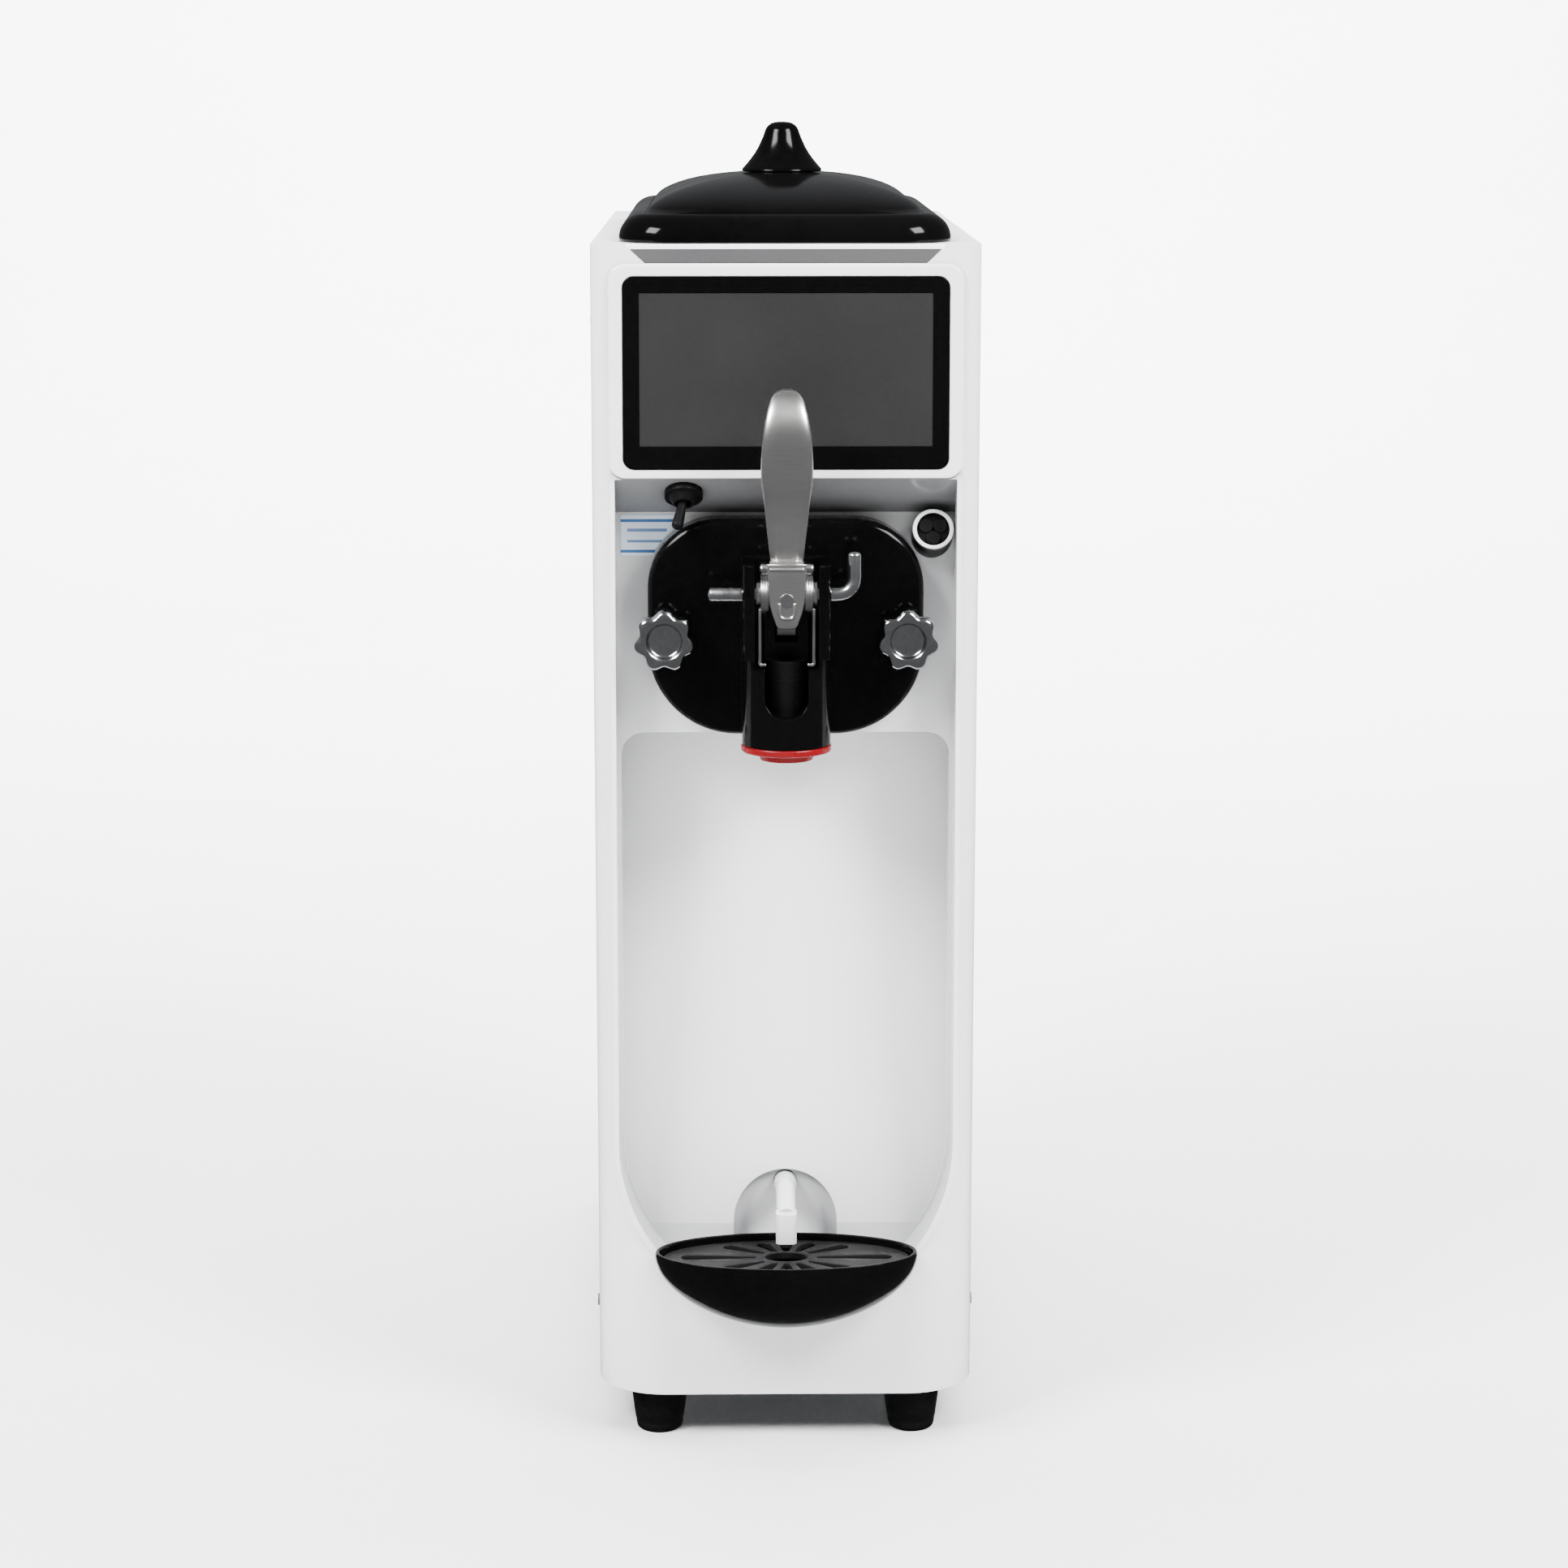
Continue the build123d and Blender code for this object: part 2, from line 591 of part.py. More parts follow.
def make_door():
    """Freezing door with its valve column, gasket, studs, star knobs, piston and nozzle cap."""
    with BuildPart() as freezing_door:
        extrude(door_outline(0), amount=MID_DEPTH - DOOR_FACE)
        face = freezing_door.faces().filter_by(Axis.Y).sort_by(Axis.Y)[0]
        fillet(face.outer_wire().edges(), 6)
        with BuildSketch(Plane.XY.offset(DOOR_LOW - 1)):
            with Locations((0, at(COLUMN_DEPTH))):
                Circle(COLUMN_RADIUS)
            with Locations((0, at(0))):
                Rectangle(2 * COLUMN_RADIUS, 24)
        extrude(amount=COLUMN_TOP - DOOR_LOW + 1)
        with BuildSketch(Plane.XY.offset(495)):
            with Locations((0, at(-14))):
                RectangleRounded(2 * COLUMN_RADIUS, 48, 8)
        extrude(amount=COLUMN_TOP - 495)
        with BuildSketch(facing(-42)):
            with Locations((0, 560)):
                Rectangle(38, 142)
        extrude(amount=-43, mode=Mode.SUBTRACT)
        with BuildSketch(facing(-42)):
            with Locations((0, 484)):
                SlotOverall(50, 26, rotation=90)
        extrude(amount=-30, mode=Mode.SUBTRACT)
        with BuildSketch(Plane.XY.offset(DOOR_LOW - 2)):
            with Locations((0, at(COLUMN_DEPTH))):
                Circle(BORE)
        extrude(amount=120, mode=Mode.SUBTRACT)
        with BuildSketch(Plane.YZ):
            with Locations((at(PIVOT_DEPTH), PIVOT_Z)):
                Circle(PIN_RADIUS + 0.05)
        extrude(amount=40, both=True, mode=Mode.SUBTRACT)
        with BuildSketch(facing(MID_DEPTH)):
            with Locations((0, 463)):
                Circle(5.5)
        extrude(amount=MID_DEPTH - COLUMN_DEPTH, mode=Mode.SUBTRACT)
        with BuildSketch(facing(MID_DEPTH + 6)):
            with Locations((0, AXIS_Z)):
                Circle(49.2)
                Circle(46, mode=Mode.SUBTRACT)
        extrude(amount=8)
        with BuildSketch(facing(MID_DEPTH)):
            with Locations((0, AXIS_Z)):
                Circle(57.2)
                Circle(52.8, mode=Mode.SUBTRACT)
        extrude(amount=1.5, mode=Mode.SUBTRACT)
        with BuildSketch(facing(MID_DEPTH)):
            with Locations((0, AXIS_Z)):
                Circle(8.1)
        extrude(amount=8, mode=Mode.SUBTRACT)
        with BuildSketch(facing(MID_DEPTH)):
            with Locations((-STUD_X, STUD_Z), (STUD_X, STUD_Z)):
                Circle(STUD_RADIUS + 0.5)
        extrude(amount=MID_DEPTH, mode=Mode.SUBTRACT)
    save(freezing_door.part, "freezing_door")

    with BuildPart() as door_gasket:
        with BuildSketch(facing(MID_DEPTH + 0.1)):
            with Locations((0, AXIS_Z)):
                Circle(57)
                Circle(53, mode=Mode.SUBTRACT)
        extrude(amount=1.5)
    save(door_gasket.part, "door_gasket")

    with BuildPart() as door_studs:
        with BuildSketch(facing(43)):
            with Locations((-STUD_X, STUD_Z), (STUD_X, STUD_Z)):
                RegularPolygon(6.5, 6)
        extrude(amount=4.8)
        with BuildSketch(facing(43)):
            with Locations((-STUD_X, STUD_Z), (STUD_X, STUD_Z)):
                Circle(STUD_RADIUS)
        extrude(amount=43 + 7)
    save(door_studs.part, "door_studs")

    for name, x in (("star_knob_left", -STUD_X), ("star_knob_right", STUD_X)):
        with BuildPart() as knob:
            with BuildSketch(facing(4)):
                with Locations((x, STUD_Z)):
                    Circle(14.5)
                    with PolarLocations(14.2, 7, start_angle=90):
                        Circle(4.9)
            extrude(amount=18)
            crown = knob.faces().filter_by(Axis.Y).sort_by(Axis.Y)[0]
            fillet(crown.outer_wire().edges(), 2.4)
            with BuildSketch(facing(DOOR_FACE)):
                with Locations((x, STUD_Z)):
                    Circle(11)
            extrude(amount=DOOR_FACE - 4)
            with BuildSketch(facing(-14)):
                with Locations((x, STUD_Z)):
                    Circle(9.5)
            extrude(amount=-3, taper=35, mode=Mode.SUBTRACT)
            with BuildSketch(facing(DOOR_FACE)):
                with Locations((x, STUD_Z)):
                    Circle(STUD_RADIUS + 0.1)
            extrude(amount=DOOR_FACE + 8, mode=Mode.SUBTRACT)
        save(knob.part, name)

    with BuildPart() as valve_piston:
        with BuildSketch(Plane.XY.offset(447)):
            with Locations((0, at(COLUMN_DEPTH))):
                Circle(PISTON)
        extrude(amount=77)
        with BuildSketch(facing(-40)):
            with Locations((0, 512)):
                Rectangle(60, 40)
        extrude(amount=-27.5, mode=Mode.SUBTRACT)
        with BuildSketch(facing(-40)):
            with Locations((0, 522)):
                Rectangle(14, 40)
        extrude(amount=-60, mode=Mode.SUBTRACT)
        with BuildSketch(Plane.YZ):
            with Locations((at(-6), 516)):
                Circle(2)
        extrude(amount=9, both=True)
        for z in (451, 478):
            with BuildSketch(Plane.XY.offset(z)):
                with Locations((0, at(COLUMN_DEPTH))):
                    Circle(PISTON + 1)
                    Circle(PISTON - 1.8, mode=Mode.SUBTRACT)
            extrude(amount=3, mode=Mode.SUBTRACT)
    save(valve_piston.part, "valve_piston")

    with BuildPart() as piston_rings:
        for z in (451.1, 478.1):
            with BuildSketch(Plane.XY.offset(z)):
                with Locations((0, at(COLUMN_DEPTH))):
                    Circle(PISTON)
                    Circle(PISTON - 1.7, mode=Mode.SUBTRACT)
            extrude(amount=2.8)
    save(piston_rings.part, "piston_rings")

    with BuildPart() as nozzle_cap:
        with BuildSketch(Plane.XY.offset(436.6)):
            with Locations((0, at(COLUMN_DEPTH))):
                Circle(27)
        extrude(amount=4.3)
        fillet(nozzle_cap.edges(), 1.2)
        with BuildSketch(Plane.XY.offset(440.9)):
            with Locations((0, at(COLUMN_DEPTH))):
                Circle(12.9)
        extrude(amount=4.6)
        with BuildSketch(Plane.XY.offset(436.6)):
            with Locations((0, at(COLUMN_DEPTH))):
                Circle(17)
        extrude(amount=-5, taper=12)
        with BuildSketch(Plane.XY.offset(430)):
            with Locations((0, at(COLUMN_DEPTH))):
                Circle(4)
                with PolarLocations(5.5, 6):
                    Rectangle(6, 3.4)
        extrude(amount=20, mode=Mode.SUBTRACT)
    save(nozzle_cap.part, "nozzle_cap")


def make_handle():
    """Draw handle, its clevis and fixings, the return spring and the pivot pin with a bent end."""
    with BuildPart() as draw_handle:
        with BuildSketch(Plane.YZ):
            with BuildLine():
                Spline((at(-26), 553), (at(-31.5), 590), (at(-39.5), 621), (at(-38.6), 636), (at(-30), 651.5))
                Line((at(-30), 651.5), (at(-34.5), 655))
                Spline((at(-34.5), 655), (at(-47), 640), (at(-49), 626), (at(-41), 590), (at(-35), 553))
                Line((at(-35), 553), (at(-26), 553))
            make_face()
        extrude(amount=20, both=True)
        with BuildSketch(facing(-20)):
            with BuildLine():
                Line((-10, 553), (10, 553))
                Spline((10, 553), (13.4, 585), (15.3, 612), (12.5, 638), (9, 650))
                ThreePointArc((9, 650), (0, 655.5), (-9, 650))
                Spline((-9, 650), (-12.5, 638), (-15.3, 612), (-13.4, 585), (-10, 553))
            make_face()
        extrude(amount=50, mode=Mode.INTERSECT)
        chamfer(draw_handle.edges().filter_by(lambda e: e.length > 60), 1.2)
    save(draw_handle.part, "draw_handle")

    tail = 28.0
    with BuildPart() as handle_clevis:
        with BuildSketch(Plane.YZ):
            with Locations((at(PIVOT_DEPTH), PIVOT_Z)):
                Circle(9)
        extrude(amount=9.6, both=True)
        with BuildSketch(Plane.YZ):
            with Locations((at(PIVOT_DEPTH), PIVOT_Z)):
                Circle(7.5)
        extrude(amount=18, both=True)
        with BuildSketch(facing(-26)):
            with Locations((0, 544)):
                Rectangle(20, 18)
        extrude(amount=8.6)
        with BuildSketch(facing(-35)):
            Polygon((-11, 552), (11, 552), (9.5, 536), (7, 521), (-7, 521), (-9.5, 536), align=None)
        extrude(amount=4.5)
        lean = Plane(origin=(0, at(PIVOT_DEPTH), PIVOT_Z), x_dir=(1, 0, 0),
                     z_dir=(0, sin(radians(30)), -cos(radians(30))))
        with BuildSketch(lean):
            Rectangle(11, 7)
        extrude(amount=tail)
        with BuildSketch(Plane.YZ):
            with Locations((at(PIVOT_DEPTH), PIVOT_Z)):
                Circle(PIN_RADIUS + 0.05)
        extrude(amount=20, both=True, mode=Mode.SUBTRACT)
        with BuildSketch(facing(-38)):
            with Locations((0, 531)):
                Circle(2.6)
        extrude(amount=3, mode=Mode.SUBTRACT)
        with BuildSketch(Plane.YZ):
            with Locations((at(-35), 549)):
                Circle(2.05)
        extrude(amount=20, both=True, mode=Mode.SUBTRACT)
    save(handle_clevis.part, "handle_clevis")

    with BuildPart() as handle_fixings:
        with BuildSketch(facing(-38)):
            with Locations((0, 531)):
                Circle(2.5)
        extrude(amount=1.5)
        with BuildSketch(facing(-39.5)):
            with Locations((0, 531)):
                Circle(4.2)
        extrude(amount=2)
        with BuildSketch(Plane.YZ):
            with Locations((at(-35), 549)):
                Circle(2)
        extrude(amount=12.5, both=True)
        for side in (-1, 1):
            with BuildSketch(Plane.YZ.offset(side * 11.2)):
                with Locations((at(-35), 549)):
                    Circle(3)
            extrude(amount=side * 5)
        ends = handle_fixings.faces().filter_by(Axis.X).sort_by(Axis.X)
        fillet(ends[0].edges() + ends[-1].edges(), 2)
    save(handle_fixings.part, "handle_fixings")

    with BuildPart() as return_spring:
        for side in (-1, 1):
            for turn in range(3):
                plane = Plane.YZ.offset(side * (11.4 + turn * 2.2))
                with BuildSketch(plane):
                    with Locations((at(PIVOT_DEPTH), PIVOT_Z)):
                        Circle(12.9)
                        Circle(10.2, mode=Mode.SUBTRACT)
                extrude(amount=1.12, both=True)
            with BuildSketch(Plane.XY.offset(491)):
                with Locations((side * 15.9, at(-36.4))):
                    Circle(1.2)
            extrude(amount=34)
            with BuildSketch(Plane.YZ.offset(side * 15.9)):
                with Locations((at(-36.4), 491)):
                    Circle(1.2)
            extrude(amount=-side * 3.4)
    save(return_spring.part, "return_spring")

    with BuildPart() as pivot_pin:
        with BuildLine():
            Line((-46, at(PIVOT_DEPTH), PIVOT_Z), (31, at(PIVOT_DEPTH), PIVOT_Z))
            Line((40, at(PIVOT_DEPTH), PIVOT_Z + 9), (40, at(PIVOT_DEPTH), 558))
            ThreePointArc((31, at(PIVOT_DEPTH), PIVOT_Z), (31 + 9 * sin(radians(45)), at(PIVOT_DEPTH),
                          PIVOT_Z + 9 * (1 - cos(radians(45)))), (40, at(PIVOT_DEPTH), PIVOT_Z + 9))
        with BuildSketch(Plane.YZ.offset(-46)):
            with Locations((at(PIVOT_DEPTH), PIVOT_Z)):
                Circle(PIN_RADIUS)
        sweep()
    save(pivot_pin.part, "pivot_pin")


def lid_plan(z, inset, radius):
    """Rounded plan of the lid at height z, drawn in all round by the inset."""
    with BuildSketch(Plane.XY.offset(z)) as plan:
        with Locations((0, at(LID_MIDDLE))):
            RectangleRounded(2 * (LID_HALF - inset), LID_FAR - LID_NEAR - 2 * inset, radius)
    return plan.sketch


def dome_sections(base, rise, inset):
    """Plans of the lid's dome: an ellipse from side to side and from front to back, flat at the very top."""
    sections = []
    half = LID_HALF - 16 - inset
    length = (LID_FAR - LID_NEAR) / 2 - 16 - inset
    for share in (1.0, 0.94, 0.8, 0.6, 0.34):
        z = base + rise * sqrt(1 - share ** 2)
        with BuildSketch(Plane.XY.offset(z)) as plan:
            with Locations((0, at(LID_MIDDLE))):
                RectangleRounded(2 * half * share, 2 * length * share, half * share * (0.95 - 0.6 * share))
        sections.append(plan.sketch)
    return sections


def make_lid_and_hopper():
    """Black lid with its bell knob, the steel hopper below it, its gasket and the air tube."""
    rim_top = TOP + RIM_HEIGHT
    with BuildPart() as lid:
        extrude(lid_plan(TOP, 0, 32), amount=RIM_HEIGHT)
        fillet(lid.faces().sort_by(Axis.Z)[-1].edges(), 13)
        loft(dome_sections(rim_top - 1, 22, 0))
        extrude(lid_plan(TOP, 3, 29), amount=4, mode=Mode.SUBTRACT)
        extrude(lid_plan(TOP + 4, 12, 22), amount=RIM_HEIGHT - 7, mode=Mode.SUBTRACT)
        loft(dome_sections(rim_top - 4, 22, 4), mode=Mode.SUBTRACT)
    save(lid.part, "lid")
    dome_flat = lid.part.bounding_box().max.Z

    with BuildPart() as lid_knob:
        with BuildSketch(Plane.XZ):
            with BuildLine():
                Line((0, dome_flat), (25, dome_flat))
                Line((25, dome_flat), (25.5, dome_flat + 2))
                Spline((25.5, dome_flat + 2), (18.5, dome_flat + 9), (12.2, dome_flat + 19),
                       (10.8, KNOB_TOP - 6))
                ThreePointArc((10.8, KNOB_TOP - 6), (9, KNOB_TOP - 1.6), (5, KNOB_TOP))
                Line((5, KNOB_TOP), (0, KNOB_TOP))
                Line((0, KNOB_TOP), (0, dome_flat))
            make_face()
        revolve(axis=Axis.Z)
    save(lid_knob.part.moved(Location((0, at(LID_MIDDLE), 0))), "lid_knob")

    middle = at((HOPPER_NEAR + HOPPER_FAR) / 2)
    length = HOPPER_FAR - HOPPER_NEAR
    with BuildPart() as hopper:
        with BuildSketch(Plane.XY.offset(HOPPER_FLOOR)):
            with Locations((0, middle)):
                RectangleRounded(2 * HOPPER_HALF, length, 25)
        extrude(amount=TOP - HOPPER_FLOOR)
        fillet(hopper.faces().sort_by(Axis.Z)[0].edges(), 14)
        with BuildSketch(Plane.XY.offset(TOP)):
            with Locations((0, middle)):
                RectangleRounded(2 * HOPPER_HALF + 10, length + 10, 30)
        extrude(amount=1.5)
        with BuildPart(mode=Mode.PRIVATE) as hollow:
            with BuildSketch(Plane.XY.offset(HOPPER_FLOOR + 1.6)):
                with Locations((0, middle)):
                    RectangleRounded(2 * HOPPER_HALF - 3.2, length - 3.2, 23.4)
            extrude(amount=TOP - HOPPER_FLOOR)
            fillet(hollow.faces().sort_by(Axis.Z)[0].edges(), 12.4)
        add(hollow.part, mode=Mode.SUBTRACT)
        with BuildSketch(Plane.XY.offset(HOPPER_FLOOR - 1)):
            with Locations((0, at(FEED_DEPTH))):
                Circle(8)
        extrude(amount=6, mode=Mode.SUBTRACT)
    save(hopper.part, "hopper")

    with BuildPart() as hopper_gasket:
        with BuildSketch(Plane.XY.offset(TOP + 1.5)):
            with Locations((0, middle)):
                RectangleRounded(2 * HOPPER_HALF + 8, length + 8, 29)
                RectangleRounded(2 * HOPPER_HALF + 2, length + 2, 26, mode=Mode.SUBTRACT)
        extrude(amount=2)
    save(hopper_gasket.part, "hopper_gasket")

    with BuildPart() as air_tube:
        with BuildSketch(Plane.XY.offset(590)):
            with Locations((0, at(FEED_DEPTH))):
                Circle(7.9)
        extrude(amount=40)
        with BuildSketch(Plane.XY.offset(630)):
            with Locations((0, at(FEED_DEPTH))):
                Circle(6)
        extrude(amount=92)
        with BuildSketch(Plane.XY.offset(590)):
            with Locations((0, at(FEED_DEPTH))):
                Circle(4)
        extrude(amount=140, mode=Mode.SUBTRACT)
        with BuildSketch(Plane.YZ):
            with Locations((at(FEED_DEPTH), 622)):
                Circle(2.5)
        extrude(amount=12, mode=Mode.SUBTRACT)
    save(air_tube.part, "air_tube")


def ring_along(outer, inner, near, far):
    """Ring around the freezing cylinder's axis, between two depths."""
    with BuildPart() as ring:
        with BuildSketch(facing(near)):
            with Locations((0, AXIS_Z)):
                Circle(outer)
                Circle(inner, mode=Mode.SUBTRACT)
        extrude(amount=near - far)
        with BuildSketch(Plane.XY.offset(AXIS_Z)):
            with Locations((0, at(FEED_DEPTH))):
                Circle(10.2)
        extrude(amount=90, mode=Mode.SUBTRACT)
    return ring.part


def make_freezing():
    """Freezing cylinder with its feed pipe and flange, evaporator jacket, insulation, beater and seals."""
    with BuildPart() as freezing_cylinder:
        with BuildSketch(facing(CYLINDER_BACK)):
            with Locations((0, AXIS_Z)):
                Circle(CYLINDER_OUTER)
        extrude(amount=CYLINDER_BACK - 31)
        with BuildSketch(facing(38)):
            with Locations((0, STUD_Z)):
                Rectangle(176, 92)
        extrude(amount=4.6)
        with BuildSketch(facing(38)):
            with Locations((0, AXIS_Z)):
                Circle(59.8)
        extrude(amount=38 - MID_DEPTH - 0.2)
        with BuildSketch(Plane.XY.offset(AXIS_Z + 48)):
            with Locations((0, at(FEED_DEPTH))):
                Circle(9.8)
        extrude(amount=HOPPER_FLOOR - AXIS_Z - 48)
        with BuildSketch(facing(CYLINDER_BACK - 4)):
            with Locations((0, AXIS_Z)):
                Circle(CYLINDER_INNER)
        extrude(amount=CYLINDER_BACK, mode=Mode.SUBTRACT)
        with BuildSketch(facing(CYLINDER_BACK + 1)):
            with Locations((0, AXIS_Z)):
                Circle(9)
        extrude(amount=8, mode=Mode.SUBTRACT)
        with BuildSketch(Plane.XY.offset(AXIS_Z)):
            with Locations((0, at(FEED_DEPTH))):
                Circle(8)
        extrude(amount=120, mode=Mode.SUBTRACT)
        with BuildSketch(facing(40)):
            with Locations((-STUD_X, STUD_Z), (STUD_X, STUD_Z)):
                Circle(STUD_RADIUS + 0.1)
        extrude(amount=12, mode=Mode.SUBTRACT)
    save(freezing_cylinder.part, "freezing_cylinder")
    save(ring_along(58, CYLINDER_OUTER + 0.3, 48, 290), "evaporator_jacket")
    save(ring_along(63, 58.3, 47, 296), "cylinder_insulation")
    save(ring_along(16, 8.1, CYLINDER_BACK + 0.2, CYLINDER_BACK + 8), "shaft_seal")
    save(ring_along(19, 8.1, 313, 323), "shaft_bearing")

    with BuildPart() as beater:
        with BuildSketch(facing(290)):
            with Locations((0, AXIS_Z)):
                Circle(9)
        extrude(amount=290 - 34)
        with BuildSketch(facing(34)):
            with Locations((0, AXIS_Z)):
                Circle(8)
        extrude(amount=10)
        for depth in (50, 168, 286):
            with BuildSketch(facing(depth)):
                with Locations((0, AXIS_Z)):
                    Circle(14)
                    with PolarLocations(0, 3):
                        with Locations((22, 0)):
                            Rectangle(40, 12)
            extrude(amount=8)
        with BuildSketch(facing(286)):
            with Locations((0, AXIS_Z)):
                with PolarLocations(40, 3):
                    Rectangle(6, 12)
        extrude(amount=286 - 42)
        for step in range(6):
            paddle = facing(68 + step * 36)
            with BuildSketch(Plane(origin=(0, paddle.origin.Y, AXIS_Z), x_dir=(1, 0, 0),
                                   z_dir=(0.35 * cos(step), -1, 0.35 * sin(step)))):
                Circle(30)
                Circle(8, mode=Mode.SUBTRACT)
            extrude(amount=1.5, both=True)
    save(beater.part, "beater")

    with BuildPart() as scraper_blades:
        with BuildSketch(facing(284)):
            with Locations((0, AXIS_Z)):
                with PolarLocations(46, 3):
                    Rectangle(5.8, 3)
        extrude(amount=284 - 44)
    save(scraper_blades.part, "scraper_blades")


def make_drive():
    """Drive shaft, reducer, pulleys, belt and motor."""
    with BuildPart() as drive_shaft:
        with BuildSketch(facing(360)):
            with Locations((0, AXIS_Z)):
                Circle(8)
        extrude(amount=70)
    save(drive_shaft.part, "drive_shaft")

    with BuildPart() as gear_reducer:
        with BuildSketch(facing(384)):
            with Locations((0, AXIS_Z)):
                RectangleRounded(96, 96, 12)
        extrude(amount=60)
        fillet(gear_reducer.faces().filter_by(Axis.Y).edges(), 4)
        with BuildSketch(facing(324)):
            with Locations((0, AXIS_Z)):
                Circle(8.1)
        extrude(amount=-37, mode=Mode.SUBTRACT)
        with BuildSketch(facing(384)):
            with Locations((0, AXIS_Z)):
                Circle(7.1)
        extrude(amount=18, mode=Mode.SUBTRACT)
    save(gear_reducer.part, "gear_reducer")

    pulleys = (("big_pulley", AXIS_Z, 43.0, 367.0), ("small_pulley", MOTOR_Z, 18.0, 363.0))
    for name, z, radius, shaft_near in pulleys:
        with BuildPart() as pulley:
            with BuildSketch(facing(406)):
                with Locations((0, z)):
                    Circle(radius + 4)
            extrude(amount=3)
            with BuildSketch(facing(403)):
                with Locations((0, z)):
                    Circle(radius)
            extrude(amount=10)
            with BuildSketch(facing(393)):
                with Locations((0, z)):
                    Circle(radius + 4)
            extrude(amount=3)
            with BuildSketch(facing(390)):
                with Locations((0, z)):
                    Circle(7)
            extrude(amount=390 - shaft_near)
        save(pulley.part, name)

    with BuildPart() as drive_belt:
        with BuildSketch(facing(402.5)):
            with Locations((0, AXIS_Z)):
                Circle(47.5)
            with Locations((0, MOTOR_Z)):
                Circle(22.5)
            make_hull()
        extrude(amount=9)
        with BuildSketch(facing(403)):
            with Locations((0, AXIS_Z)):
                Circle(43.4)
            with Locations((0, MOTOR_Z)):
                Circle(18.4)
            make_hull()
        extrude(amount=10, mode=Mode.SUBTRACT)
    save(drive_belt.part, "drive_belt")

    with BuildPart() as drive_motor:
        with BuildSketch(facing(380)):
            with Locations((0, MOTOR_Z)):
                Circle(52)
        extrude(amount=130)
        fillet(drive_motor.edges().filter_by(GeomType.CIRCLE), 8)
        with BuildSketch(Plane.XY.offset(DECK_Z + SHEET)):
            with Locations((0, at(285))):
                Rectangle(96, 40)
        extrude(amount=30)
        with BuildSketch(facing(380)):
            with Locations((0, MOTOR_Z)):
                Circle(7.1)
        extrude(amount=20, mode=Mode.SUBTRACT)
    save(drive_motor.part, "drive_motor")


